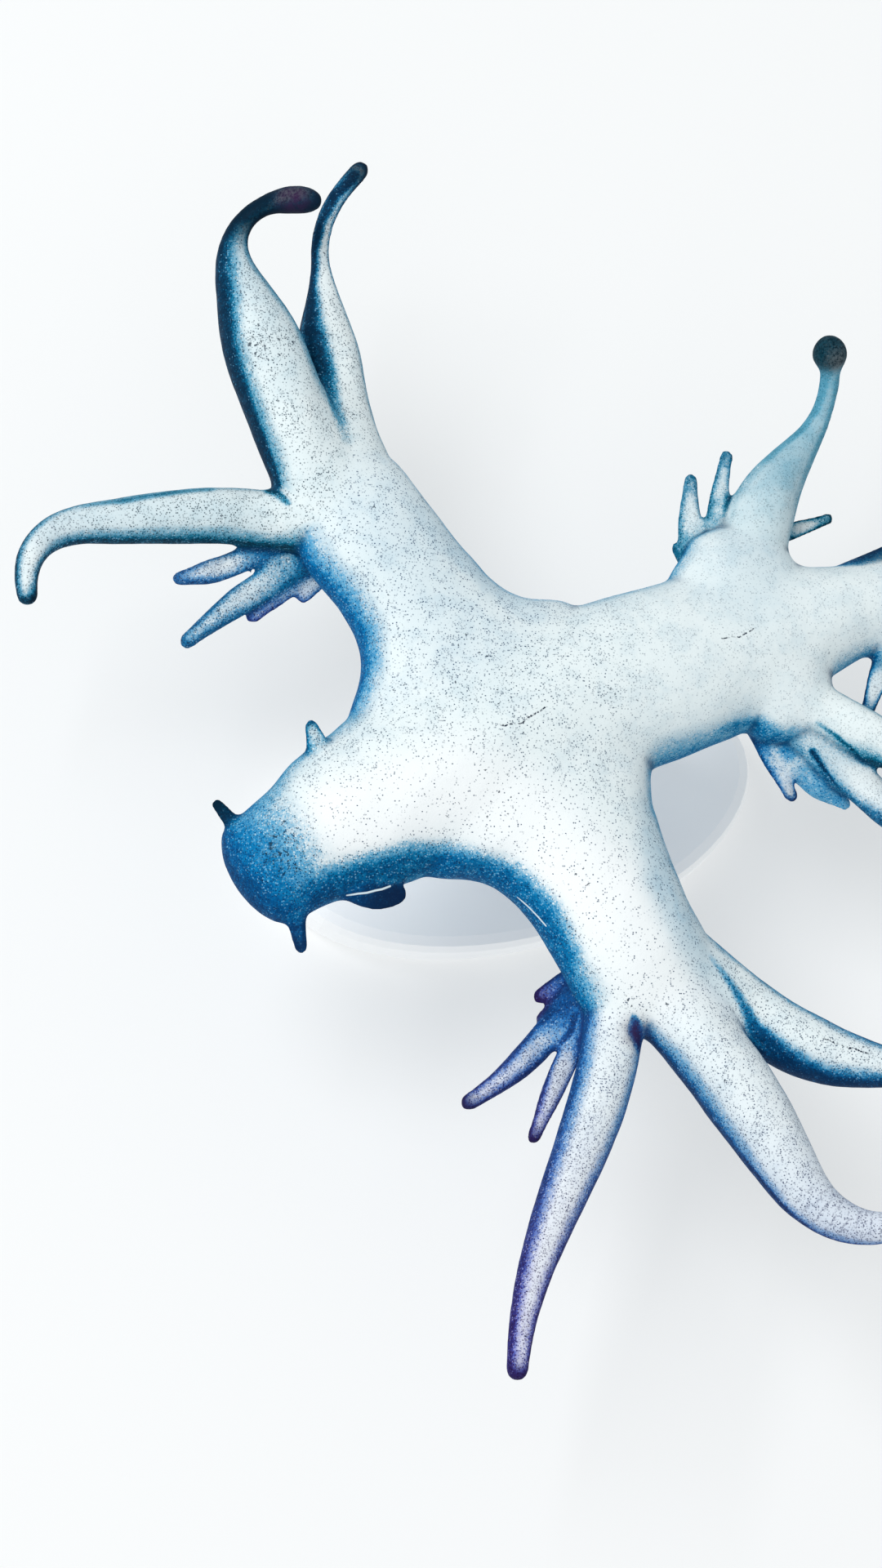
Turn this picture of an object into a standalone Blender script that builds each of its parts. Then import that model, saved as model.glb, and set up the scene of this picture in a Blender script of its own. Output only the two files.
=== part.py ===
"""Blue dragon sea slug, Glaucus atlanticus, as a still life-size model on a small display stand.

Sizes are in millimetres here and become metres when a mesh is made. +Z is up and the floor is at z = 0.
The back of the animal faces up. Its head points to -X and -Y, its tail to +X, its right side to +Y.
Positions of the animal are measured from the middle of its front arms, and MODEL_AT moves them to the stand.
"""

import math
from collections import namedtuple

import bmesh
import bpy
import numpy as np
from mathutils import Matrix, Vector

MM = 0.001
GAP = 0.3
BODY_HEIGHT = 12.0
MODEL_AT = (-1.8, 0.7, BODY_HEIGHT)

# Detail: the sides of a cross-section and the distance between cross-sections.
Detail = namedtuple("Detail", "sides spacing")
TRUNK_DETAIL = Detail(22, 1.2)
TAIL_DETAIL = Detail(16, 1.2)
FOOT_DETAIL = Detail(12, 1.6)
ARM_DETAIL = Detail(20, 1.0)
STUB_DETAIL = Detail(20, 0.6)
ROOT_DETAIL = Detail(14, 1.1)
CERAS_DETAIL = Detail(14, 0.9)
TIP_DETAIL = Detail(14, 0.6)
SMALL_DETAIL = Detail(9, 1.2)
FEELER_DETAIL = Detail(10, 0.4)
STEPS_PER_STATION = 12
STEPS_PER_CERAS = 60
# Cross-sections of a round end, in degrees from its rim.
CAP_ANGLES = (30, 55, 75)
SHARP_EDGE = 40.0

BASE_LENGTH = 19.0
BASE_WIDTH = 10.0
BASE_THICK = 2.0
BASE_EDGE = 0.5
BASE_HEADING = 17.0
BASE_SIDES = 56
BASE_EDGE_STEPS = 2
ROD_RADIUS = 0.8
ROD_SIDES = 20
# Distance of each rod along the middle line of the body, and how much of the belly shapes its top.
ROD_PLACES = {"stand_rod_front": 11.6, "stand_rod_rear": 18.6}
ROD_CUT_REACH = 3.0
# A cutter ends this much before the flat face of the piece it shapes, so that the two faces are never one.
FACE_OFFSET = 0.02

# Each station of a limb: middle x, y, z, then half width on the left and on the right of somebody who looks
# outwards along the limb, and half height.
BODY_STATIONS = (
    (-10.83, -6.96, -0.20, 2.00, 2.00, 1.35),
    (-10.12, -6.48, -0.10, 2.08, 2.08, 1.55),
    (-8.97, -5.67, 0.00, 2.22, 2.22, 1.75),
    (-8.13, -5.12, 0.05, 2.42, 2.42, 1.90),
    (-7.22, -4.50, 0.10, 2.76, 2.76, 2.05),
    (-5.62, -3.66, 0.10, 3.10, 3.10, 2.20),
    (-4.60, -2.98, 0.15, 3.20, 3.20, 2.30),
    (-2.60, -1.85, 0.20, 3.35, 3.35, 2.45),
    (0.00, -0.45, 0.20, 3.45, 3.45, 2.50),
    (2.70, 0.75, 0.15, 3.30, 3.30, 2.40),
    (5.20, 1.70, 0.10, 3.18, 3.18, 2.25),
    (7.10, 2.45, 0.00, 3.05, 3.05, 2.10),
    (9.00, 3.20, 0.00, 2.68, 2.68, 1.90),
    (10.90, 3.85, 0.00, 2.10, 2.10, 1.65),
    (12.50, 4.30, 0.00, 1.70, 1.70, 1.45),
    (14.20, 4.60, 0.00, 1.62, 1.62, 1.30),
    (16.50, 4.55, 0.05, 1.25, 1.25, 1.05),
    (20.20, 4.05, 0.15, 0.92, 0.92, 0.80),
    (24.00, 3.50, 0.30, 0.64, 0.64, 0.58),
    (27.70, 3.10, 0.50, 0.42, 0.42, 0.40),
    (31.00, 2.95, 0.80, 0.28, 0.28, 0.28),
)
FRONT_RIGHT_STATIONS = (
    (-1.76, 0.05, 0.20, 4.95, 5.05, 2.05),
    (-2.80, 1.64, 0.20, 4.85, 4.55, 2.00),
    (-3.07, 2.06, 0.20, 4.27, 3.75, 2.00),
    (-3.40, 2.57, 0.22, 3.52, 3.20, 1.95),
    (-3.78, 3.15, 0.25, 2.92, 2.90, 1.90),
    (-4.25, 3.87, 0.28, 2.57, 2.75, 1.87),
    (-4.76, 4.66, 0.32, 2.49, 2.60, 1.85),
    (-6.07, 6.68, 0.35, 2.62, 2.45, 1.75),
    (-6.88, 7.94, 0.30, 2.00, 2.35, 1.50),
    (-7.65, 9.11, 0.20, 1.60, 1.80, 1.10),
)
FRONT_LEFT_STATIONS = (
    (-0.40, -1.91, 0.20, 4.45, 4.95, 2.05),
    (0.63, -3.85, 0.20, 4.15, 5.25, 2.00),
    (0.87, -4.29, 0.20, 3.85, 4.48, 2.00),
    (1.21, -4.95, 0.24, 3.45, 3.47, 1.95),
    (1.54, -5.57, 0.28, 3.25, 3.07, 1.90),
    (2.04, -6.50, 0.32, 3.00, 2.80, 1.85),
    (3.02, -8.36, 0.35, 2.70, 2.73, 1.75),
    (3.77, -9.77, 0.30, 2.68, 2.70, 1.60),
    (4.71, -11.54, 0.20, 2.05, 2.05, 1.20),
)
MIDDLE_RIGHT_STATIONS = (
    (7.70, 2.60, 0.00, 3.10, 3.40, 1.80),
    (7.75, 4.40, 0.05, 2.70, 3.10, 1.70),
    (7.95, 5.80, 0.10, 2.10, 2.35, 1.50),
    (8.15, 7.10, 0.10, 1.55, 1.55, 1.15),
)
MIDDLE_LEFT_STATIONS = (
    (8.60, 2.60, 0.00, 2.10, 2.10, 1.75),
    (9.05, 1.70, 0.00, 2.10, 2.10, 1.60),
    (9.60, 0.60, 0.00, 1.85, 1.85, 1.40),
    (10.20, -0.50, 0.00, 1.40, 1.40, 1.05),
)
REAR_RIGHT_STATIONS = (
    (13.70, 4.40, 0.00, 1.60, 1.60, 1.10),
    (14.25, 5.20, 0.00, 1.35, 1.35, 1.00),
    (14.80, 6.00, 0.00, 1.00, 1.00, 0.80),
)
REAR_LEFT_STATIONS = (
    (13.60, 4.20, 0.00, 1.60, 1.60, 1.10),
    (14.00, 3.20, 0.00, 1.30, 1.30, 0.95),
    (14.40, 2.30, 0.00, 0.95, 0.95, 0.75),
)

# The body is flatter below its middle line than above it.
BELLY_SHARE = 0.82
# Where the body is divided into lengths, by distance along its middle line.
BODY_CUTS = (6.2, 17.8, 25.0, 30.2, 36.0, 41.0)
BODY_NAMES = ("head", "trunk_front", "trunk_middle", "trunk_rear", "tail_1", "tail_2", "tail_3")
SNOUT_CAP = 1.0
TAIL_CAP = 0.5
# The front arms widen towards the neck, and the head keeps clear of them from this distance on.
NECK_START = 2.0
# The sole of the foot, as shares of the body's size at each distance, and where it runs.
FOOT_RANGE = (2.6, 37.0)
FOOT_DROP = 0.80
FOOT_WIDTH_SHARE = 0.50
FOOT_HEIGHT_SHARE = 0.32
# Lips and mouth under the snout: half sizes along, across and deep.
MOUTH_DISTANCE = 0.95
MOUTH_DROP = 0.74
MOUTH_TILT = 24.0
LIP_SIZE = (0.80, 0.95, 0.50)
MOUTH_SIZE = (0.22, 0.55, 0.80)
MOUTH_SEGMENTS = 16
MOUTH_RINGS = 8

# Arm: the trunk length it grows from, its stations, where its own node starts, the length of its round end.
# saddle is the length of the body, by distance, that shapes the inner face of a short arm.
Arm = namedtuple("Arm", "trunk stations cut cap saddle")
ARMS = {
    "arm_front_right": Arm("trunk_front", FRONT_RIGHT_STATIONS, 5.5, 1.2, None),
    "arm_front_left": Arm("trunk_front", FRONT_LEFT_STATIONS, 5.2, 1.3, None),
    "arm_middle_right": Arm("trunk_middle", MIDDLE_RIGHT_STATIONS, 3.2, 0.9, (14.0, 26.0)),
    "arm_middle_left": Arm("trunk_middle", MIDDLE_LEFT_STATIONS, 2.2, 0.8, (14.0, 29.0)),
    "arm_rear_right": Arm("trunk_rear", REAR_RIGHT_STATIONS, 1.3, 0.6, (24.0, 33.0)),
    "arm_rear_left": Arm("trunk_rear", REAR_LEFT_STATIONS, 1.3, 0.6, (24.0, 33.0)),
}

# Ceras: a finger of the fan on an arm. It starts at root, goes off at heading and rise (degrees) and
# bends by turn, lift and sway. Its radius goes from thick to tip between two shares of its length,
# narrow_from and narrow_to.
# own is the distance where its own node starts, with None for a small one fused to the arm whole.
# joint is the distance where its hooked end becomes a second node.
# bulb is the radius of a ball end, which swells from BULB_START over BULB_SWELL, as shares of the length.
# point is the length of the round end for each unit of its radius.
BULB_START = 0.82
BULB_SWELL = 0.09
CERAS_SHAPE = "root heading length thick tip rise turn lift sway bend narrow_from narrow_to"
CERAS_DEFAULTS = (0, 0, 0, 0, 0.3, 0.3, 1.0, None, None, 0.0, 1.2)
Ceras = namedtuple("Ceras", CERAS_SHAPE + " own joint bulb point", defaults=CERAS_DEFAULTS)
CERATA = {
    "arm_front_right": (
        Ceras((-5.87, 9.30, -1.00), 117.5, 12.0, 1.22, 0.33, 7, -70, 24, -23.5, 0.60, 0.32, 0.68, 2.6, 7.2),
        Ceras((-7.58, 7.67, 0.45), 113, 14, 1.50, 0.36, 7, -143, 38, -2, 0.57, 0.38, 0.79, 3.5, 9.0, 0.5, 2),
        Ceras((-8.38, 6.73, 0.10), 172, 12.5, 1.03, 0.27, 2, 100, 16, 16, 0.58, 0.18, 1.20, 2.3, 8.6),
        Ceras((-8.18, 6.70, -0.65), 209, 5.1, 0.45, 0.24, -2, -17, 0, 0, 0.30, 0.69, 1.00),
        Ceras((-7.44, 6.07, -0.90), 213, 6.2, 0.54, 0.28, -6, 8, 0, 0, 0.30, 0.49, 1.00),
        Ceras((-7.30, 5.75, -1.30), 219, 3.5, 0.36, 0.25, -8),
        Ceras((-7.10, 5.40, -1.40), 226, 1.5, 0.30, 0.25, -14),
    ),
    "arm_front_left": (
        Ceras((5.57, -9.00, -0.60), -43, 11.2, 1.19, 0.42, 3, 37, 26, 4, 0.15, 0.42, 0.99, 3.4, 7.4),
        Ceras((4.46, -10.76, 0.20), -48, 14.6, 1.42, 0.41, 6, 86, 28, -14, 0.49, 0.24, 0.98, 3.6, 9.4),
        Ceras((2.77, -10.33, 0.10), -94.3, 15.2, 1.06, 0.33, 2, -1, 6, -19.5, 0.23, 0.24, 1.11, 2.8, 9.0),
        Ceras((2.29, -10.21, -0.80), -116, 6.1, 0.42, 0.23, -3, 3, 0, 0, 0.30, 0.57, 1.00),
        Ceras((2.15, -9.64, -1.05), -129, 6.8, 0.54, 0.29, -4, -19, 0, 0, 0.30, 0.48, 1.00),
        Ceras((1.86, -9.74, -1.30), -137, 2.3, 0.36, 0.26, -6),
        Ceras((1.71, -9.34, -1.40), -147, 1.9, 0.34, 0.26, -8),
    ),
    "arm_middle_right": (
        Ceras((9.00, 7.02, -0.70), 22, 3.2, 0.34, 0.20, -4),
        Ceras((8.69, 7.05, 0.10), 77, 8.4, 1.25, 0.36, 4, 42, 46, -26, 0.37, 0.03, 0.70, 2.0, None, 0.64),
        Ceras((7.20, 6.20, -0.35), 84, 4.2, 0.42, 0.22, 3, -8),
        Ceras((6.45, 5.80, -0.65), 92, 3.7, 0.48, 0.24, 3, -8),
        Ceras((6.60, 5.70, -0.85), 126, 1.4, 0.32, 0.22, 0),
    ),
    "arm_middle_left": (
        Ceras((10.30, 0.60, 0.40), -31, 9.4, 0.88, 0.34, 4, 40, 26, 0, 0.30, 0.20, 0.90, 3.0, None),
        Ceras((9.78, 0.05, -0.30), -42, 8.4, 0.71, 0.30, -1, 6, 12, 0, 0.45, 0.50, 1.00, 3.2, None),
        Ceras((9.14, -0.42, -1.00), -40, 3.9, 0.60, 0.22, -6, 2, 0, 0, 0.30, 0.60, 1.00),
        Ceras((8.60, 0.00, -0.80), -63, 3.1, 0.42, 0.25, -6),
    ),
    "arm_rear_right": (
        Ceras((14.90, 5.60, 0.05), 31, 6.0, 0.62, 0.28, 5, 26, 20, 0, 0.30, 0.20, 0.95, 2.0, None),
        Ceras((14.60, 5.70, -0.25), 56, 4.8, 0.50, 0.26, 4, -12, 12),
        Ceras((14.10, 5.60, -0.50), 76, 3.0, 0.40, 0.25, -2),
    ),
    "arm_rear_left": (
        Ceras((14.80, 2.90, 0.00), -30, 6.0, 0.66, 0.28, 4, -26, 18, 0, 0.30, 0.20, 0.95, 1.3, None),
        Ceras((14.10, 2.60, -0.10), -66, 4.4, 0.50, 0.26, 3, 16, 10),
        Ceras((13.60, 2.90, -0.35), -110, 2.6, 0.40, 0.25, -2),
    ),
}
FEELERS = {
    "oral_tentacle_right": Ceras((-10.10, -5.75, 0.05), 131, 2.5, 0.38, 0.20, 8),
    "oral_tentacle_left": Ceras((-8.98, -6.90, -0.05), -81, 2.4, 0.38, 0.22, 0),
    "rhinophore_right": Ceras((-7.75, -2.70, 0.60), 111, 1.9, 0.46, 0.22, 22),
    "rhinophore_left": Ceras((-7.15, -6.72, 0.20), -24, 2.4, 0.54, 0.34, 4, 52),
}
FEELER_CUT_END = 10.0

SKIN_COLOUR = (0.62, 0.76, 0.86, 1.0)
BLUE_COLOUR = (0.05, 0.25, 0.50, 1.0)
STAND_COLOUR = (0.90, 0.90, 0.90, 1.0)
SKIN_ROUGHNESS = 0.35
STAND_ROUGHNESS = 0.45
# How far each kind of piece goes from the skin colour to the blue.
ARM_BLUE = 0.15
CERAS_BLUE = 0.35
TIP_BLUE = 0.80


def clear_scene():
    for obj in list(bpy.data.objects):
        bpy.data.objects.remove(obj, do_unlink=True)


def new_collection(name):
    group = bpy.data.collections.new(name)
    bpy.context.scene.collection.children.link(group)
    return group


def smooth_step(share):
    share = np.clip(share, 0.0, 1.0)
    return share * share * (3.0 - 2.0 * share)


def with_directions(points, sizes):
    """Rows of distance, x, y, z, heading, rise, half width left and right, half height above and below."""
    along = np.gradient(points, axis=0)
    heading = np.unwrap(np.arctan2(along[:, 1], along[:, 0]))
    rise = np.arctan2(along[:, 2], np.hypot(along[:, 0], along[:, 1]))
    steps = np.linalg.norm(np.diff(points, axis=0), axis=1)
    distance = np.concatenate([[0.0], np.cumsum(steps)])
    return np.column_stack([distance, points, heading, rise, sizes])


def limb_line(stations, belly=1.0):
    """The smooth line through the stations of the body or an arm."""
    known = np.array(stations, float)
    lengths = np.linalg.norm(np.diff(known[:, :3], axis=0), axis=1)
    place = np.concatenate([[0.0], np.cumsum(lengths)])
    slopes = np.gradient(known, place, axis=0)
    rows = []
    for i, length in enumerate(lengths):
        for t in np.arange(STEPS_PER_STATION) / STEPS_PER_STATION:
            ease = t * t * (3 - 2 * t)
            curve = slopes[i] * (t * (1 - t) ** 2) - slopes[i + 1] * (t * t * (1 - t))
            rows.append(known[i] * (1 - ease) + known[i + 1] * ease + curve * length)
    rows.append(known[-1])
    rows = np.array(rows)
    sizes = np.column_stack([rows[:, 3:], rows[:, 5] * belly])
    return with_directions(rows[:, :3], sizes)


def ceras_line(one):
    """The bent line of a ceras or feeler, with its radius."""
    share = np.linspace(0.0, 1.0, STEPS_PER_CERAS + 1)
    middle = (share[1:] + share[:-1]) / 2
    ease = smooth_step((middle - one.bend) / (1 - one.bend))
    heading = np.radians(one.heading + one.turn * ease + one.sway * np.sin(np.pi * middle))
    rise = np.radians(one.rise + one.lift * ease)
    level = np.cos(rise)
    step = np.column_stack([np.cos(heading) * level, np.sin(heading) * level, np.sin(rise)])
    path = np.cumsum(step, axis=0) * one.length / STEPS_PER_CERAS
    points = np.vstack([one.root, np.asarray(one.root) + path])
    narrow = smooth_step((share - one.narrow_from) / (one.narrow_to - one.narrow_from))
    radius = one.thick + (one.tip - one.thick) * narrow
    if one.bulb:
        radius += (one.bulb - one.tip) * smooth_step((share - BULB_START) / BULB_SWELL)
    return with_directions(points, np.column_stack([radius] * 4))


def row_at(line, distance):
    return [np.interp(distance, line[:, 0], line[:, k]) for k in range(line.shape[1])]


def ring(line, distance, scale, grow, sides):
    """One cross-section of a limb, as points in the order that faces outwards."""
    row = row_at(line, distance)
    centre = np.array(row[1:4])
    heading, rise = row[4], row[5]
    across = np.array([-math.sin(heading), math.cos(heading), 0.0])
    upward = np.array([
        -math.cos(heading) * math.sin(rise), -math.sin(heading) * math.sin(rise), math.cos(rise)
    ])
    points = []
    for k in range(sides):
        angle = 2 * math.pi * k / sides
        width = row[6] if math.cos(angle) > 0 else row[7]
        height = row[8] if math.sin(angle) > 0 else row[9]
        points.append(
            centre
            + across * (math.cos(angle) * (width * scale + grow))
            + upward * (math.sin(angle) * (height * scale + grow))
        )
    return points


def loft(name, line, start, end, detail, cap_start=0.0, cap_end=0.0, grow=0.0):
    """A closed tube along the line from start to end. An end with a cap is round, any other is flat."""
    inner = start + cap_start
    outer = end - cap_end
    count = max(2, round((outer - inner) / detail.spacing) + 1)
    sections = [(distance, 1.0) for distance in np.linspace(inner, outer, count)]
    angles = [math.radians(angle) for angle in CAP_ANGLES]
    if cap_end:
        sections += [(outer + cap_end * math.sin(a), math.cos(a)) for a in angles]
    if cap_start:
        sections = [(inner - cap_start * math.sin(a), math.cos(a)) for a in reversed(angles)] + sections
    mesh = bmesh.new()
    rings = []
    for distance, scale in sections:
        points = ring(line, distance, scale, grow, detail.sides)
        rings.append([mesh.verts.new(point) for point in points])
    for first, second in zip(rings, rings[1:]):
        for k in range(detail.sides):
            n = (k + 1) % detail.sides
            mesh.faces.new((first[k], first[n], second[n], second[k]))
    mesh.faces.new(list(reversed(rings[0])))
    mesh.faces.new(rings[-1])
    bmesh.ops.recalc_face_normals(mesh, faces=mesh.faces[:])
    return as_object(name, mesh)


def as_object(name, mesh):
    """Moves a mesh from its place on the animal to its place in the model, in metres."""
    for vertex in mesh.verts:
        vertex.co = (vertex.co + Vector(MODEL_AT)) * MM
    data = bpy.data.meshes.new(name)
    mesh.to_mesh(data)
    mesh.free()
    return bpy.data.objects.new(name, data)


def combine(target, others, operation):
    """Joins the others to the target, or cuts them from it, then removes them."""
    if not others:
        return
    group = bpy.data.collections.new("operands")
    bpy.context.scene.collection.children.link(group)
    group.hide_render = True
    for other in others:
        other.hide_render = True
        other.display_type = "WIRE"
        group.objects.link(other)
    if target.name not in bpy.context.scene.objects:
        bpy.context.scene.collection.objects.link(target)
    modifier = target.modifiers.new("combine", "BOOLEAN")
    modifier.operation = operation
    modifier.operand_type = "COLLECTION"
    modifier.collection = group
    modifier.solver = "EXACT"
    apply_modifiers(target)
    for other in others:
        bpy.data.objects.remove(other, do_unlink=True)
    bpy.data.collections.remove(group)


def apply_modifiers(obj):
    graph = bpy.context.evaluated_depsgraph_get()
    data = bpy.data.meshes.new_from_object(obj.evaluated_get(graph))
    obj.modifiers.clear()
    obj.data = data
    data.name = obj.name


def keep_largest(obj):
    """Leaves only the largest closed surface of a node."""
    mesh = bmesh.new()
    mesh.from_mesh(obj.data)
    left = set(mesh.verts)
    pieces = []
    while left:
        piece = set()
        front = [left.pop()]
        while front:
            vertex = front.pop()
            piece.add(vertex)
            for edge in vertex.link_edges:
                other = edge.other_vert(vertex)
                if other in left:
                    left.remove(other)
                    front.append(other)
        pieces.append(piece)
    pieces.sort(key=len)
    for piece in pieces[:-1]:
        bmesh.ops.delete(mesh, geom=list(piece), context="VERTS")
    mesh.to_mesh(obj.data)
    mesh.free()


def finish_node(obj, group, material):
    keep_largest(obj)
    for polygon in obj.data.polygons:
        polygon.use_smooth = True
    obj.data.set_sharp_from_angle(angle=math.radians(SHARP_EDGE))
    obj.data.materials.clear()
    obj.data.materials.append(material)
    for holder in list(obj.users_collection):
        holder.objects.unlink(obj)
    group.objects.link(obj)


def new_material(name, colour, roughness):
    material = bpy.data.materials.new(name)
    material.use_nodes = True
    shader = material.node_tree.nodes["Principled BSDF"]
    shader.inputs["Base Color"].default_value = colour
    shader.inputs["Roughness"].default_value = roughness
    shader.inputs["Metallic"].default_value = 0.0
    return material


def mix(first, second, share):
    return tuple(a + (b - a) * share for a, b in zip(first, second))


def rooted_cerata(name):
    """The small fingers of an arm and the rooted lengths of its large ones."""
    made = []
    for number, one in enumerate(CERATA[name], 1):
        line = ceras_line(one)
        label = f"{name}_root_{number}"
        if one.own is None:
            made.append(loft(label, line, 0.0, one.length, SMALL_DETAIL, cap_end=one.tip * one.point))
        else:
            made.append(loft(label, line, 0.0, one.own - GAP, ROOT_DETAIL))
    return made


def foot_line(body):
    """The sole: a low band under the middle line, from behind the mouth to the tail."""
    line = body.copy()
    line[:, 3] -= body[:, 9] * FOOT_DROP
    line[:, 6:8] = body[:, 6:8] * FOOT_WIDTH_SHARE
    line[:, 8:10] = body[:, 9:10] * FOOT_HEIGHT_SHARE
    return line


def mouth_part(name, body, size):
    """A flattened ball under the snout. The larger one is the lips and the smaller one cuts the mouth."""
    row = row_at(body, MOUTH_DISTANCE)
    mesh = bmesh.new()
    bmesh.ops.create_uvsphere(mesh, u_segments=MOUTH_SEGMENTS, v_segments=MOUTH_RINGS, radius=1.0)
    tilt = Matrix.Rotation(row[4], 4, "Z") @ Matrix.Rotation(math.radians(MOUTH_TILT), 4, "Y")
    place = Matrix.Translation(Vector((row[1], row[2], row[3] - row[9] * MOUTH_DROP)))
    bmesh.ops.transform(mesh, matrix=place @ tilt @ Matrix.Diagonal((*size, 1.0)), verts=mesh.verts)
    return as_object(name, mesh)


def body_additions(name, start, end, foot):
    """What is joined to a length of the body: the roots of its arms and its part of the sole."""
    made = []
    for label, arm in ARMS.items():
        if arm.trunk == name:
            made.append(loft(f"{label}_stub", limb_line(arm.stations), 0.0, arm.cut - GAP, STUB_DETAIL))
    if end <= FOOT_RANGE[1]:
        made.append(loft(f"{name}_foot", foot, max(start, FOOT_RANGE[0]), end, FOOT_DETAIL))
    return made


def build_body(group):
    line = limb_line(BODY_STATIONS, BELLY_SHARE)
    foot = foot_line(line)
    starts = (0.0,) + BODY_CUTS
    ends = [cut - GAP for cut in BODY_CUTS] + [line[-1, 0]]
    for name, start, end in zip(BODY_NAMES, starts, ends):
        detail = TAIL_DETAIL if name.startswith("tail") else TRUNK_DETAIL
        cap_start = SNOUT_CAP if name == BODY_NAMES[0] else 0.0
        cap_end = TAIL_CAP if name == BODY_NAMES[-1] else 0.0
        piece = loft(name, line, start, end, detail, cap_start, cap_end)
        additions = body_additions(name, start, end, foot)
        cutters = []
        if name == "head":
            additions.append(mouth_part("lips", line, LIP_SIZE))
            cutters.append(mouth_part("mouth", line, MOUTH_SIZE))
        if name == "trunk_front":
            head_end = start - GAP - FACE_OFFSET
            cutters.append(loft("head_cutter", line, NECK_START, head_end, TRUNK_DETAIL, grow=GAP))
        combine(piece, additions, "UNION")
        combine(piece, cutters, "DIFFERENCE")
        finish_node(piece, group, new_material(name, SKIN_COLOUR, SKIN_ROUGHNESS))


def build_arms(group):
    body = limb_line(BODY_STATIONS, BELLY_SHARE)
    colour = mix(SKIN_COLOUR, BLUE_COLOUR, ARM_BLUE)
    for name, arm in ARMS.items():
        line = limb_line(arm.stations)
        piece = loft(name, line, arm.cut, line[-1, 0], ARM_DETAIL, cap_end=arm.cap)
        combine(piece, rooted_cerata(name), "UNION")
        cutters = [loft("stub_cutter", line, 0.0, arm.cut - FACE_OFFSET, STUB_DETAIL, grow=GAP)]
        if arm.saddle:
            start, end = arm.saddle
            cutters.append(loft("trunk_cutter", body, start, end, TRUNK_DETAIL, grow=GAP))
        combine(piece, cutters, "DIFFERENCE")
        finish_node(piece, group, new_material(name, colour, SKIN_ROUGHNESS))


def build_cerata(group):
    """The outer lengths of the large cerata, each in one node or in two where it ends in a hook."""
    for arm, fan in CERATA.items():
        for number, one in enumerate(fan, 1):
            if one.own is None:
                continue
            name = arm.replace("arm", "ceras") + f"_{number}"
            line = ceras_line(one)
            cap = max(one.bulb, one.tip) * one.point
            colour = mix(SKIN_COLOUR, BLUE_COLOUR, CERAS_BLUE)
            if one.joint is None:
                piece = loft(name, line, one.own, one.length, CERAS_DETAIL, cap_end=cap)
                finish_node(piece, group, new_material(name, colour, SKIN_ROUGHNESS))
                continue
            piece = loft(name, line, one.own, one.joint - GAP, CERAS_DETAIL)
            finish_node(piece, group, new_material(name, colour, SKIN_ROUGHNESS))
            name = f"{name}_tip"
            colour = mix(SKIN_COLOUR, BLUE_COLOUR, TIP_BLUE)
            piece = loft(name, line, one.joint, one.length, TIP_DETAIL, cap_end=cap)
            finish_node(piece, group, new_material(name, colour, SKIN_ROUGHNESS))


def build_feelers(group):
    body = limb_line(BODY_STATIONS, BELLY_SHARE)
    for name, one in FEELERS.items():
        line = ceras_line(one)
        piece = loft(name, line, 0.0, one.length, FEELER_DETAIL, cap_end=one.tip * one.point)
        cutter = loft("head_cutter", body, 0.0, FEELER_CUT_END, TRUNK_DETAIL, SNOUT_CAP, grow=GAP)
        combine(piece, [cutter], "DIFFERENCE")
        finish_node(piece, group, new_material(name, BLUE_COLOUR, SKIN_ROUGHNESS))


def build_base(group):
    bpy.ops.mesh.primitive_cylinder_add(vertices=BASE_SIDES, radius=0.5, depth=1.0)
    base = bpy.context.object
    base.name = "stand_base"
    base.scale = (BASE_LENGTH * MM, BASE_WIDTH * MM, BASE_THICK * MM)
    base.rotation_euler = (0.0, 0.0, math.radians(BASE_HEADING))
    base.location = (0.0, 0.0, BASE_THICK * MM / 2)
    bpy.ops.object.transform_apply(location=True, rotation=True, scale=True)
    edge = base.modifiers.new("edge", "BEVEL")
    edge.width = BASE_EDGE * MM
    edge.segments = BASE_EDGE_STEPS
    edge.limit_method = "ANGLE"
    apply_modifiers(base)
    finish_node(base, group, new_material("stand_base", STAND_COLOUR, STAND_ROUGHNESS))


def build_rods(group):
    """Two short rods. Each stops just under the belly, and its top follows the belly."""
    body = limb_line(BODY_STATIONS, BELLY_SHARE)
    foot = foot_line(body)
    low = BASE_THICK + GAP
    for name, distance in ROD_PLACES.items():
        row = row_at(body, distance)
        x, y, high = (row[1 + k] + MODEL_AT[k] for k in range(3))
        bpy.ops.mesh.primitive_cylinder_add(
            vertices=ROD_SIDES, radius=ROD_RADIUS * MM, depth=(high - low) * MM,
            location=(x * MM, y * MM, (low + high) * MM / 2),
        )
        rod = bpy.context.object
        rod.name = name
        bpy.ops.object.transform_apply(location=True, rotation=True, scale=True)
        start, end = distance - ROD_CUT_REACH, distance + ROD_CUT_REACH
        cutters = [
            loft("belly_cutter", body, start, end, TRUNK_DETAIL, grow=GAP),
            loft("foot_cutter", foot, start, end, FOOT_DETAIL, grow=GAP),
        ]
        combine(rod, cutters, "DIFFERENCE")
        finish_node(rod, group, new_material(name, STAND_COLOUR, STAND_ROUGHNESS))


def main():
    clear_scene()
    group = new_collection("blue_dragon_sea_slug")
    build_body(group)
    build_arms(group)
    build_cerata(group)
    build_feelers(group)
    build_base(group)
    build_rods(group)


main()
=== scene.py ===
import math
from collections import namedtuple

import bpy
import numpy as np
from mathutils import Matrix, Vector
from mathutils.bvhtree import BVHTree


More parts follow.
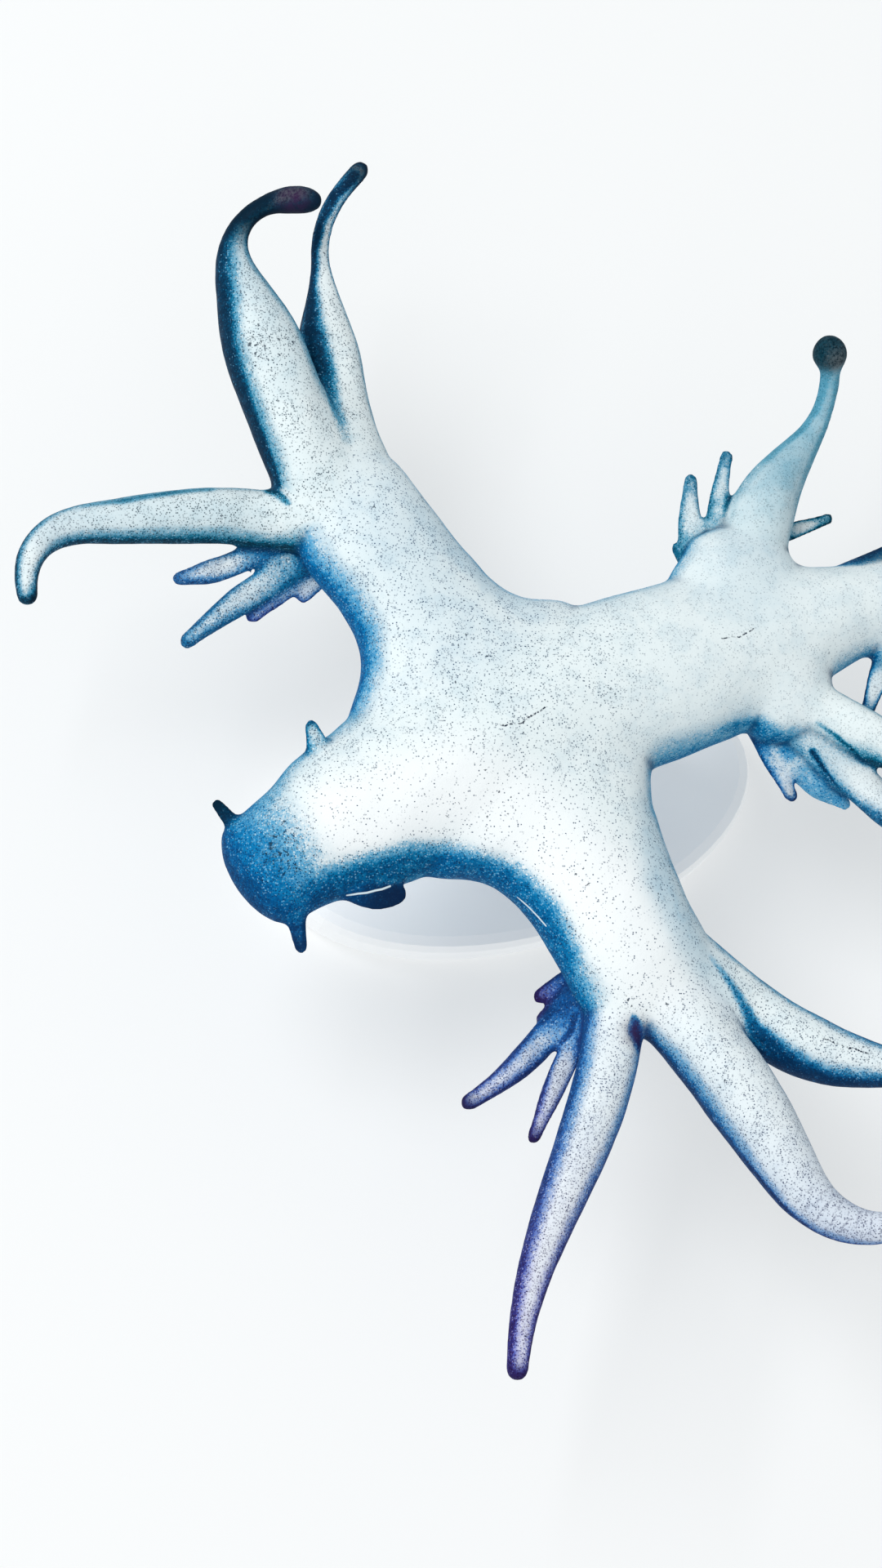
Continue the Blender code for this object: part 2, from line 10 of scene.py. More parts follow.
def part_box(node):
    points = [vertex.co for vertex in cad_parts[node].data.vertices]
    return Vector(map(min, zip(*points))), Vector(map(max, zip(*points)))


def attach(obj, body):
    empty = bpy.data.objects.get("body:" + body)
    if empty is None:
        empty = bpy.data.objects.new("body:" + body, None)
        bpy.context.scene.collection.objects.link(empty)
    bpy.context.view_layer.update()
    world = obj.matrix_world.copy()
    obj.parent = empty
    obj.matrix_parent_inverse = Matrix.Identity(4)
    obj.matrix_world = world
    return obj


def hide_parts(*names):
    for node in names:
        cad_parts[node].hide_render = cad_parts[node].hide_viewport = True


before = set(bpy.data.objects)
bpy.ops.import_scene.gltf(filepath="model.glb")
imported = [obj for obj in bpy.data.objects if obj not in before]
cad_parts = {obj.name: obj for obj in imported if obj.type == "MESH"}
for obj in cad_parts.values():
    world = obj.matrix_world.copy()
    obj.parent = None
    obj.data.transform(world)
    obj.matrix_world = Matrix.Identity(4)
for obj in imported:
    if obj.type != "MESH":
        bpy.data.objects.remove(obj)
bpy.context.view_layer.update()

# Sizes are in millimetres and become metres in the last step of each mesh. The tables repeat those of the
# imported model: places are measured from the middle of the front arms, and MODEL_AT moves them to the stand.
MM = 0.001
MODEL_AT = np.array([-1.8, 0.7, 12.0])
STEPS_PER_STATION = 12
STEPS_PER_CERAS = 60

BODY_STATIONS = (
    (-10.83, -6.96, -0.2, 2, 2, 1.35), (-10.12, -6.48, -0.1, 2.08, 2.08, 1.55),
    (-8.97, -5.67, 0, 2.22, 2.22, 1.75), (-8.13, -5.12, 0.05, 2.42, 2.42, 1.9),
    (-7.22, -4.5, 0.1, 2.76, 2.76, 2.05), (-5.62, -3.66, 0.1, 3.1, 3.1, 2.2),
    (-4.6, -2.98, 0.15, 3.2, 3.2, 2.3), (-2.6, -1.85, 0.2, 3.35, 3.35, 2.45),
    (0, -0.45, 0.2, 3.45, 3.45, 2.5), (2.7, 0.75, 0.15, 3.3, 3.3, 2.4), (5.2, 1.7, 0.1, 3.18, 3.18, 2.25),
    (7.1, 2.45, 0, 3.05, 3.05, 2.1), (9, 3.2, 0, 2.68, 2.68, 1.9), (10.9, 3.85, 0, 2.1, 2.1, 1.65),
    (12.5, 4.3, 0, 1.7, 1.7, 1.45), (14.2, 4.6, 0, 1.62, 1.62, 1.3),
    (16.5, 4.55, 0.05, 1.25, 1.25, 1.05), (20.2, 4.05, 0.15, 0.92, 0.92, 0.8),
    (24, 3.5, 0.3, 0.64, 0.64, 0.58), (27.7, 3.1, 0.5, 0.42, 0.42, 0.4),
    (31, 2.95, 0.8, 0.28, 0.28, 0.28),
)
FRONT_RIGHT_STATIONS = (
    (-1.76, 0.05, 0.2, 4.95, 5.05, 2.05), (-2.8, 1.64, 0.2, 4.85, 4.55, 2),
    (-3.07, 2.06, 0.2, 4.27, 3.75, 2), (-3.4, 2.57, 0.22, 3.52, 3.2, 1.95),
    (-3.78, 3.15, 0.25, 2.92, 2.9, 1.9), (-4.25, 3.87, 0.28, 2.57, 2.75, 1.87),
    (-4.76, 4.66, 0.32, 2.49, 2.6, 1.85), (-6.07, 6.68, 0.35, 2.62, 2.45, 1.75),
    (-6.88, 7.94, 0.3, 2, 2.35, 1.5), (-7.65, 9.11, 0.2, 1.6, 1.8, 1.1),
)
FRONT_LEFT_STATIONS = (
    (-0.4, -1.91, 0.2, 4.45, 4.95, 2.05), (0.63, -3.85, 0.2, 4.15, 5.25, 2),
    (0.87, -4.29, 0.2, 3.85, 4.48, 2), (1.21, -4.95, 0.24, 3.45, 3.47, 1.95),
    (1.54, -5.57, 0.28, 3.25, 3.07, 1.9), (2.04, -6.5, 0.32, 3, 2.8, 1.85),
    (3.02, -8.36, 0.35, 2.7, 2.73, 1.75), (3.77, -9.77, 0.3, 2.68, 2.7, 1.6),
    (4.71, -11.54, 0.2, 2.05, 2.05, 1.2),
)
MIDDLE_RIGHT_STATIONS = (
    (7.7, 2.6, 0, 3.1, 3.4, 1.8), (7.75, 4.4, 0.05, 2.7, 3.1, 1.7), (7.95, 5.8, 0.1, 2.1, 2.35, 1.5),
    (8.15, 7.1, 0.1, 1.55, 1.55, 1.15),
)
MIDDLE_LEFT_STATIONS = (
    (8.6, 2.6, 0, 2.1, 2.1, 1.75), (9.05, 1.7, 0, 2.1, 2.1, 1.6), (9.6, 0.6, 0, 1.85, 1.85, 1.4),
    (10.2, -0.5, 0, 1.4, 1.4, 1.05),
)
REAR_RIGHT_STATIONS = (
    (13.7, 4.4, 0, 1.6, 1.6, 1.1), (14.25, 5.2, 0, 1.35, 1.35, 1), (14.8, 6, 0, 1, 1, 0.8),
)
REAR_LEFT_STATIONS = (
    (13.6, 4.2, 0, 1.6, 1.6, 1.1), (14, 3.2, 0, 1.3, 1.3, 0.95), (14.4, 2.3, 0, 0.95, 0.95, 0.75),
)

BELLY_SHARE = 0.82
SNOUT_CAP = 1.0
TAIL_CAP = 0.5
FOOT_RANGE = (2.6, 37.0)
FOOT_CAPS = (0.8, 1.2)
FOOT_DROP = 0.8
FOOT_WIDTH_SHARE = 0.5
FOOT_HEIGHT_SHARE = 0.32
MOUTH_DISTANCE = 0.95
MOUTH_DROP = 0.74
MOUTH_TILT = 24.0
LIP_SIZE = (0.8, 0.95, 0.5)
SLIT_SIZE = (0.3, 0.62, 0.42)
ARM_STATIONS = {
    "arm_front_right": (FRONT_RIGHT_STATIONS, 1.2),
    "arm_front_left": (FRONT_LEFT_STATIONS, 1.3),
    "arm_middle_right": (MIDDLE_RIGHT_STATIONS, 0.9),
    "arm_middle_left": (MIDDLE_LEFT_STATIONS, 0.8),
    "arm_rear_right": (REAR_RIGHT_STATIONS, 0.6),
    "arm_rear_left": (REAR_LEFT_STATIONS, 0.6),
}

BULB_START = 0.82
BULB_SWELL = 0.09
CERAS_SHAPE = "root heading length thick tip rise turn lift sway bend narrow_from narrow_to bulb point"
CERAS_DEFAULTS = (0, 0, 0, 0, 0.3, 0.3, 1.0, 0.0, 1.2)
Ceras = namedtuple("Ceras", CERAS_SHAPE, defaults=CERAS_DEFAULTS)
CERATA = {
    "arm_front_right": (
        Ceras((-5.87, 9.3, -1), 117.5, 12, 1.22, 0.33, 7, -70, 24, -23.5, 0.6, 0.32, 0.68),
        Ceras((-7.58, 7.67, 0.45), 113, 14, 1.5, 0.36, 7, -143, 38, -2, 0.57, 0.38, 0.79, 0.5, 2),
        Ceras((-8.38, 6.73, 0.1), 172, 12.5, 1.03, 0.27, 2, 100, 16, 16, 0.58, 0.18, 1.2),
        Ceras((-8.18, 6.7, -0.65), 209, 5.1, 0.45, 0.24, -2, -17, 0, 0, 0.3, 0.69, 1),
        Ceras((-7.44, 6.07, -0.9), 213, 6.2, 0.54, 0.28, -6, 8, 0, 0, 0.3, 0.49, 1),
        Ceras((-7.3, 5.75, -1.3), 219, 3.5, 0.36, 0.25, -8),
        Ceras((-7.1, 5.4, -1.4), 226, 1.5, 0.3, 0.25, -14),
    ),
    "arm_front_left": (
        Ceras((5.57, -9, -0.6), -43, 11.2, 1.19, 0.42, 3, 37, 26, 4, 0.15, 0.42, 0.99),
        Ceras((4.46, -10.76, 0.2), -48, 14.6, 1.42, 0.41, 6, 86, 28, -14, 0.49, 0.24, 0.98),
        Ceras((2.77, -10.33, 0.1), -94.3, 15.2, 1.06, 0.33, 2, -1, 6, -19.5, 0.23, 0.24, 1.11),
        Ceras((2.29, -10.21, -0.8), -116, 6.1, 0.42, 0.23, -3, 3, 0, 0, 0.3, 0.57, 1),
        Ceras((2.15, -9.64, -1.05), -129, 6.8, 0.54, 0.29, -4, -19, 0, 0, 0.3, 0.48, 1),
        Ceras((1.86, -9.74, -1.3), -137, 2.3, 0.36, 0.26, -6),
        Ceras((1.71, -9.34, -1.4), -147, 1.9, 0.34, 0.26, -8),
    ),
    "arm_middle_right": (
        Ceras((9, 7.02, -0.7), 22, 3.2, 0.34, 0.2, -4),
        Ceras((8.69, 7.05, 0.1), 77, 8.4, 1.25, 0.36, 4, 42, 46, -26, 0.37, 0.03, 0.7, 0.64),
        Ceras((7.2, 6.2, -0.35), 84, 4.2, 0.42, 0.22, 3, -8),
        Ceras((6.45, 5.8, -0.65), 92, 3.7, 0.48, 0.24, 3, -8),
        Ceras((6.6, 5.7, -0.85), 126, 1.4, 0.32, 0.22, 0),
    ),
    "arm_middle_left": (
        Ceras((10.3, 0.6, 0.4), -31, 9.4, 0.88, 0.34, 4, 40, 26, 0, 0.3, 0.2, 0.9),
        Ceras((9.78, 0.05, -0.3), -42, 8.4, 0.71, 0.3, -1, 6, 12, 0, 0.45, 0.5, 1),
        Ceras((9.14, -0.42, -1), -40, 3.9, 0.6, 0.22, -6, 2, 0, 0, 0.3, 0.6, 1),
        Ceras((8.6, 0, -0.8), -63, 3.1, 0.42, 0.25, -6),
    ),
    "arm_rear_right": (
        Ceras((14.9, 5.6, 0.05), 31, 6, 0.62, 0.28, 5, 26, 20, 0, 0.3, 0.2, 0.95),
        Ceras((14.6, 5.7, -0.25), 56, 4.8, 0.5, 0.26, 4, -12, 12),
        Ceras((14.1, 5.6, -0.5), 76, 3, 0.4, 0.25, -2),
    ),
    "arm_rear_left": (
        Ceras((14.8, 2.9, 0), -30, 6, 0.66, 0.28, 4, -26, 18, 0, 0.3, 0.2, 0.95),
        Ceras((14.1, 2.6, -0.1), -66, 4.4, 0.5, 0.26, 3, 16, 10),
        Ceras((13.6, 2.9, -0.35), -110, 2.6, 0.4, 0.25, -2),
    ),
}
FEELERS = {
    "oral_tentacle_right": Ceras((-10.1, -5.75, 0.05), 131, 2.5, 0.38, 0.2, 8),
    "oral_tentacle_left": Ceras((-8.98, -6.9, -0.05), -81, 2.4, 0.38, 0.22, 0),
    "rhinophore_right": Ceras((-7.75, -2.7, 0.6), 111, 1.9, 0.46, 0.22, 22),
    "rhinophore_left": Ceras((-7.15, -6.72, 0.2), -24, 2.4, 0.54, 0.34, 4, 52),
}

# Style of a piece of skin. start is where the blue of the sides begins, in degrees of slope above the level,
# at the root and at the tip. dark_from and dark_to are the shares of the length where the tip turns dark.
# deepest is how deep the blue of the sides gets. teal and violet are how much of each colour it takes.
STYLE = "start start_tip teal violet dark dark_from dark_to deepest"
Style = namedtuple("Style", STYLE, defaults=(0, 0, 0, 0.9, 1.2, 1.0))
BODY_STYLE = Style(49, 40, 0.45, 0.0, deepest=0.63)
ARM_STYLES = {
    "arm_front_right": Style(50, 52, 0.15, 0, deepest=0.76),
    "arm_front_left": Style(50, 52, 0.3, 0, deepest=0.76),
    "arm_middle_right": Style(40, 46, 0.5, 0, deepest=0.7),
    "arm_middle_left": Style(46, 44, 0.4, 0, deepest=0.7),
    "arm_rear_right": Style(46, 50, 0.4, 0, deepest=0.76),
    "arm_rear_left": Style(46, 50, 0.4, 0, deepest=0.76),
}
REAR_STYLES = (
    Style(52, 80, 0.5, 0.1, 0.9, 0.6, 1), Style(52, 80, 0.5, 0.1, 0.8, 0.7, 1.1),
    Style(52, 80, 0.5, 0.1, 0.8, 0.7, 1.1),
)
CERAS_STYLES = {
    "arm_front_right": (
        Style(40, 56, 0.8, 0.1, 1, 0.88, 0.97), Style(46, 66, 0.8, 0.05, 1, 0.64, 0.76),
        Style(48, 60, 1, 0.1, 0.55, 0.94, 1.06, 0.84), Style(82, 80, 0.4, 0.3, 0.1, 0.9, 1.1, 0.7),
        Style(88, 80, 0.6, 0.15, 0.2, 0.9, 1.1, 0.68), Style(50, 70, 0.2, 0.7, 0.2, 0.9, 1.2, 0.8),
        Style(50, 70, 0.2, 0.5, 0.2, 0.9, 1.2, 0.8),
    ),
    "arm_front_left": (
        Style(56, 66, 0.5, 0.1, 0.5, 0.85, 1.1), Style(42, 20, 0.3, 0.6, 0.2, 0.95, 1.1),
        Style(56, 78, 0, 1, 0.9, 0.94, 1.02, 0.86), Style(78, 66, 0, 0.9, 0.9, 0.86, 0.98, 0.9),
        Style(104, 68, 0, 0.75, 0.9, 0.88, 0.98, 0.9), Style(80, 90, 0, 1, 0.8, 0.5, 1.05),
        Style(80, 90, 0, 1, 0.8, 0.5, 1.05),
    ),
    "arm_middle_right": (
        Style(66, 80, 1, 0, 0.5, 0.5, 1.05, 0.85), Style(44, 70, 1, 0, 1, 0.82, 0.87, 0.45),
        Style(60, 92, 1, 0.1, 0.2, 0.8, 1.1, 0.62), Style(60, 92, 1, 0.1, 0.2, 0.8, 1.1, 0.58),
        Style(60, 80, 1, 0.1, 0.2, 0.8, 1.1, 0.7),
    ),
    "arm_middle_left": (
        Style(50, 74, 0.9, 0, 0.8, 0.8, 1, 0.85), Style(52, 74, 0.7, 0.2, 0.6, 0.85, 1, 0.7),
        Style(60, 90, 0.2, 0, 0.3, 0.9, 1.1, 0.46), Style(56, 80, 0.3, 0.3, 0.8, 0.7, 1.1, 0.9),
    ),
    "arm_rear_right": REAR_STYLES,
    "arm_rear_left": REAR_STYLES,
}
FEELER_STYLES = {
    "oral_tentacle_right": Style(80, 120, 0.7, 0, 1, 0.5, 0.95),
    "oral_tentacle_left": Style(80, 110, 0.2, 0.1, 0.5, 0.4, 0.8),
    "rhinophore_right": Style(60, 80, 0.6, 0, 0.3, 0.7, 1.1, 0.75),
    "rhinophore_left": Style(110, 120, 0.2, 0.1, 0.8, 0.1, 0.6),
}
# The low fold of skin that runs from the tail's edge onto the rear right arm.
TAIL_FOLD = Ceras((11.2, 5.16, 0.0), 26, 3.4, 0.5, 0.45, 2)
TAIL_FOLD_STYLE = Style(84, 96, 0.5, 0.1, 0.75, 0.1, 0.6, 0.85)

# The mesh of the skin: cross-sections before the pieces are merged, the merge's voxel, and its smoothing.
# The last ring of a round cap lies at CAP_END degrees, just short of the pole.
SIDES = 36
RING_SPACING = 0.25
CAP_STEPS = 8
CAP_END = 88.0
LIP_RINGS, LIP_SIDES = 10, 20
VOXEL = 0.105
FILLET_ROUNDS = 44
FILLET_RATE = 0.7
FIRST_ROUNDS = 2
SMOOTH_ROUNDS = 14
NORMAL_ROUNDS = 6
TAUBIN = (0.5, -0.53)
SPREAD_ROUNDS = 14
# A ceras runs back into its arm from its root: how far and how deep for each unit of its thickness, and the
# share of its thickness at that inner end.
ROOT_REACH = 2.0
ROOT_DROP = 0.3
ROOT_NARROW = 0.3
ROOT_STEPS = 8
# Cerata up to the first radius keep most of the hollows between them, those from the second radius on none.
THIN_CERAS = 0.55
THICK_CERAS = 0.95
THIN_SPARED = 0.8
# Cerata that start low get a shoulder up to the arm's back: its height at the root, and its length. It rises
# towards the camera, so it doesn't change their outline in the main view.
SHOULDERS = {("arm_front_right", 0): (1.15, 4.2), ("arm_front_left", 0): (0.6, 3.6)}
# Levelling of back and belly near a join: how far the join reaches, how much hollow counts, and its rounds.
# It works on skin that faces up or down by more than the first of LEVEL_FACING, fully from their sum on.
JOIN_REACH_ROUNDS = 130
JOIN_HOLLOW = 0.01
JOIN_MOST = 4.0
JOIN_SPREAD = 0.8
JOIN_GAIN = 1.6
LEVEL_ROUNDS = 460
LEVEL_RATE = 0.6
LEVEL_FACING = (0.12, 0.45)
FACING_EVERY = 20
# Low waves over the skin: scale, seed and height.
WRINKLES = ((2.1, 0.3, 0.016), (6.5, 1.1, 0.007))

# The camera: tilt from the vertical, bearing, distance, and the photograph's scale at the animal.
CAMERA_TILT = 22.0
CAMERA_BEARING = 233.0
CAMERA_DISTANCE = 220.0
PIXELS_PER_MM = 34.0
IMAGE_SIZE = (1080, 1920)
AXIS_PIXEL = (650, 870)
SENSOR_HEIGHT = 24.0

# How many degrees of slope the blue takes to reach its deepest, and by how many it starts higher on the side
# that faces the camera's bearing: on body and arms, and how much less of that past the root of a ceras.
MARGIN_SPREAD = 44.0
BODY_LEAN = 14.0
CERAS_LEAN_LOSS = 9.0
CERAS_LEAN_END = 0.06
# The head: how blue it is, how much more on the side that faces the bearing, how much less teal, and from
# where and over what length that fades into the trunk.
HEAD_BLUE = 0.6
HEAD_BLUE_LEAN = 0.2
HEAD_TEAL_LOSS = 0.6
HEAD_FROM, HEAD_FADE = 0.7, 3.0
# The violet of a ceras: its share at the root, and the stretch of the length where it grows to all.
VIOLET_ROOT = 0.25
VIOLET_GROWS = (0.15, 0.75)
# The share of a band's width that has its full strength.
BAND_CORE = 0.2
# The slope where each mask starts, and over how many degrees it changes.
# The first pair is for the painted shade on skin that slopes away from the top of its piece.
SLOPE_SHADE_SLOPES = (72.0, 70.0)
UNDER_SLOPES = (-6.0, 22.0)
# The last pair is for the painted shade in creases.
CREASE_SHADE_SLOPES = (28.0, 25.0)
# How much filling of a crease gives its hollow the full painted shade.
CREASE_SHADE_DEPTH = 0.1

# Markings, painted shade and a painted highlight, as corner points on the skin with a width and a strength at
# each.
BLUE_AND_SHADE_BANDS = (
    # The hollow between the head and the left arm.
    ((-7.9, -7.3, 0.6, 1.15, 0.8), (-6.8, -6.75, 0.9, 1.15, 0.8), (-5, -6.25, 1, 1.15, 0.76),
     (-3.15, -6.25, 0.8, 1.15, 0.76), (-1.25, -6.85, 0.8, 1.15, 0.76), (-0.1, -8.05, 0.9, 1.15, 0.76),
     (0.6, -9.5, 0.8, 1.1, 0.72), (0.85, -10.15, 0.4, 1, 0.7)),
    # The left side and the hook of the right arm's first ceras.
    ((-9.25, 7.9, 0.95, 0.3, 0.9), (-9.8, 9.25, 1.15, 0.5, 1), (-10.37, 10.86, 1.3, 0.66, 1),
     (-10.9, 12.54, 1.5, 0.84, 1), (-11.2, 14.33, 1.7, 0.9, 1), (-11.3, 16.54, 1.75, 0.72, 1),
     (-10.9, 17.55, 2.05, 0.62, 1), (-9.81, 18.3, 2.8, 0.7, 1)),
    # The left side of the one behind it.
    ((-6.3, 19.75, 1.4, 0.4, 1), (-6.9, 19.2, 0.9, 0.34, 1), (-7.35, 18.35, 0.55, 0.3, 1),
     (-7.62, 17.3, 0.25, 0.32, 1), (-7.75, 15.9, 0.05, 0.42, 1), (-7.8, 14.2, 0.3, 0.66, 1),
     (-7.5, 12.55, 0.5, 0.66, 0.95), (-7.26, 10.9, 1.15, 0.5, 0.6), (-6.85, 9.6, 1.4, 0.4, 0.2)),
    # Below the left arm's far ceras, where it passes behind the next one: painted shade.
    ((6, -9.3, 1, 0.15, 0.15), (6.67, -10.14, 0.92, 0.18, 0.6), (7.65, -11.77, 0.5, 0.4, 0.85),
     (8.77, -12.86, 0.3, 0.8, 1), (10.18, -13.4, 0.45, 0.55, 0.95), (12, -13.9, 0.6, 0.35, 0.6)),
    # The near edge of that next one, up to its bend.
    ((5, -13.9, 0.7, 0.2, 0.8), (6.5, -16.2, 0.9, 0.26, 1), (7.95, -18.05, 1.1, 0.28, 1),
     (8.98, -19.12, 1.25, 0.24, 0.9), (9.6, -19.52, 1.35, 0.12, 0.4)),
    # Painted shade in the notches between cerata.
    ((-9.5, 7.75, 0.8, 0.32, 1), (-8.95, 7.12, 1.15, 0.14, 0.6)),
    ((3.05, -11.5, 1.06, 0.16, 0.6), (3.2, -12.05, 0.93, 0.42, 1), (3.5, -12.6, 0.62, 0.46, 1)),
    # Painted shade at the edge of a small ceras of the left arm, over the next one, and at the root of one on
    # the right.
    ((1.45, -10.85, -0.45, 0.2, 0.6), (1.34, -11.15, -0.52, 0.26, 1), (1.16, -11.75, -0.6, 0.26, 1),
     (0.85, -12.1, -0.8, 0.2, 0.8)),
    ((7.8, 9.1, 0.05, 0.2, 0.6), (7.72, 8.3, 0.12, 0.26, 0.85), (7.55, 7.6, 0.2, 0.24, 0.8)),
    # Painted shade in the corner between the trunk and the middle left arm.
    ((6.66, -0.86, 0.9, 0.35, 0.45), (7.47, -0.56, 0.75, 0.48, 0.58), (8.32, -0.5, 0.5, 0.62, 0.62),
     (9.08, -0.8, 0.25, 0.6, 0.6), (9.67, -1.15, -0.4, 0.45, 0.58)),
    # The inner side of the hooked end of the right arm's long ceras.
    ((-17.3, 5.2, 0.6, 0.45, 0.7), (-17.86, 4.2, 0.9, 0.5, 0.92), (-18, 3.55, 1.1, 0.5, 1),
     (-18.25, 3, 1.3, 0.45, 1)),
    # Painted shade in the hollows between the cerata of the middle left arm.
    ((10.45, -0.36, 0.84, 0.1, 0.4), (11.15, -0.82, 0.8, 0.13, 0.75), (11.85, -1.34, 0.7, 0.17, 0.85),
     (12.2, -1.62, 0.45, 0.18, 0.8)),
    ((10.44, -1.22, 0.08, 0.22, 1), (10.9, -1.78, -0.12, 0.16, 1), (11.42, -2.33, -0.3, 0.1, 0.8)),
)
# Bands of painted shade: a blue-grey tint on skin turned from the light.
SHADE_BANDS = (
    # The far sides of both arms, out of the light.
    ((-6.4, 9.9, 1.3, 0.8, 0.02), (-5.94, 8.84, 1.42, 1, 0.03), (-4.14, 6.25, 1.8, 1.1, 0.12),
     (-1.98, 4.74, 1.3, 1.1, 0.16), (-0.27, 3.27, 1.6, 1, 0.08)),
    ((-2.3, 1.6, 2.6, 2.8, 0.05), (-5.2, 5.6, 2.4, 2.4, 0.09), (-7.6, 8.6, 2.1, 1.8, 0.03)),
    ((3.98, -4.22, 1.23, 1.1, 0.12), (4.09, -6.84, 1.78, 1.2, 0.2), (5.09, -8.87, 1.57, 1.2, 0.18),
     (6.56, -10.5, 0.98, 1, 0.1)),
    # The middle right arm and its ceras with the round end, and the bent end of a ceras of the left arm.
    ((7.8, 4.5, 1.6, 2.2, 0.07), (8.56, 6.77, 1.17, 1.9, 0.12), (9.1, 8.1, 1.22, 1.5, 0.2),
     (9.5, 9, 1.26, 1.4, 0.28), (10.73, 11.08, 0.93, 1.3, 0.3), (11.2, 12.44, 1.5, 1.2, 0.3)),
    ((8.1, -17.2, 1.9, 1.5, 0.03), (9.18, -18.54, 1.9, 1.5, 0.09), (10.6, -19.1, 2, 1.5, 0.1)),
    # The first and third cerata of the right arm.
    ((-9, 11.5, 1.9, 1.3, 0.08), (-9.9, 14.5, 2.1, 1.3, 0.1), (-10.3, 16.5, 2.3, 1.2, 0.12)),
    ((-10.5, 6.6, 1, 1.2, 0.08), (-14, 6.5, 1.1, 1.2, 0.1), (-17.4, 5.6, 1, 1.2, 0.12)),
    # The upper edge of the third.
    ((-11.76, 7.62, 0.85, 0.3, 0.3), (-13.49, 7.32, 0.9, 0.32, 0.44), (-15, 7, 0.95, 0.3, 0.44),
     (-16.1, 6.8, 0.9, 0.24, 0.2), (-16.9, 6.35, 0.95, 0.2, 0.1)),
)
# A painted highlight: near-white skin along the neck and the middle of the left arm.
HIGHLIGHT_BANDS = (
    ((-7.2, -4.88, 2.11, 2.3, 1), (-3.45, -3.62, 2.33, 2.4, 1), (-1, -4.67, 2.04, 2.4, 0.9),
     (1.84, -7.3, 2.11, 2.4, 1), (3.61, -10.4, 1.71, 2.2, 0.8)),
)
# Spots: a middle, a radius and a strength.
# The second plum spot is painted shade in a notch between two cerata of the left arm.
PLUM_SPOTS = ((-9.05, 17.85, 3.7, 1.1, 1), (3.2, -12.15, 0.9, 0.95, 1))
DASH_SPOTS = ((-9.75, 12.8, 2.5, 1.5, 1), (-9.65, -6.05, 1.6, 1.9, 1), (3, -11, 1.2, 0.9, 0.8),
              (-1.8, 1, 2.2, 1.6, 0.4))
# Where the folds show, with painted shade in their grooves.
FOLD_SPOTS = ((9.7, -18.9, 2, 2.6, 1), (-17, 5.6, 0.8, 1.6, 0.5), (13.2, -13, 1, 2, 0.7))
# Thin marks, as corner points: painted shade in creases and painted highlight lines.
# Painted shade along creases.
CREASE_SHADE_LINES = (
    ((-1.8, -1.45, 2.66), (-0.97, -1.33, 2.68), (-0.14, -0.72, 2.68)),
    ((6.5, 2.28, 2.16), (7.33, 2.4, 2.07), (7.88, 2.76, 2)),
    ((9.93, -12.17, 1.04), (10.78, -12.54, 1.16), (11.55, -12.73, 1.29)),
)
# Painted highlight lines: a thin white gleam on the folded left rhinophore and on the left arm's edge.
HIGHLIGHT_LINES = (
    ((-7.05, -7.28, 0.5), (-6.67, -7.22, 0.6), (-6.35, -7.19, 0.64), (-6.04, -7.1, 0.66),
     (-5.81, -7.05, 0.66), (-5.51, -6.93, 0.66)),
    ((-0.88, -7.17, 0.63), (-0.31, -7.8, 0.78), (0.03, -8.3, 0.9)),
)


def smooth_step(share):
    share = np.clip(share, 0.0, 1.0)
    return share * share * (3.0 - 2.0 * share)


def with_directions(points, sizes):
    """Rows of distance, x, y, z, heading, rise, half width left and right, half height above and below."""
    along = np.gradient(points, axis=0)
    heading = np.unwrap(np.arctan2(along[:, 1], along[:, 0]))
    rise = np.arctan2(along[:, 2], np.hypot(along[:, 0], along[:, 1]))
    steps = np.linalg.norm(np.diff(points, axis=0), axis=1)
    distance = np.concatenate([[0.0], np.cumsum(steps)])
    return np.column_stack([distance, points, heading, rise, sizes])


def limb_line(stations, belly=1.0):
    """The smooth line through the stations of the body or an arm."""
    known = np.array(stations, float)
    lengths = np.linalg.norm(np.diff(known[:, :3], axis=0), axis=1)
    place = np.concatenate([[0.0], np.cumsum(lengths)])
    slopes = np.gradient(known, place, axis=0)
    rows = []
    for i, length in enumerate(lengths):
        for t in np.arange(STEPS_PER_STATION) / STEPS_PER_STATION:
            ease = t * t * (3 - 2 * t)
            curve = slopes[i] * (t * (1 - t) ** 2) - slopes[i + 1] * (t * t * (1 - t))
            rows.append(known[i] * (1 - ease) + known[i + 1] * ease + curve * length)
    rows.append(known[-1])
    rows = np.array(rows)
    sizes = np.column_stack([rows[:, 3:], rows[:, 5] * belly])
    return with_directions(rows[:, :3], sizes)


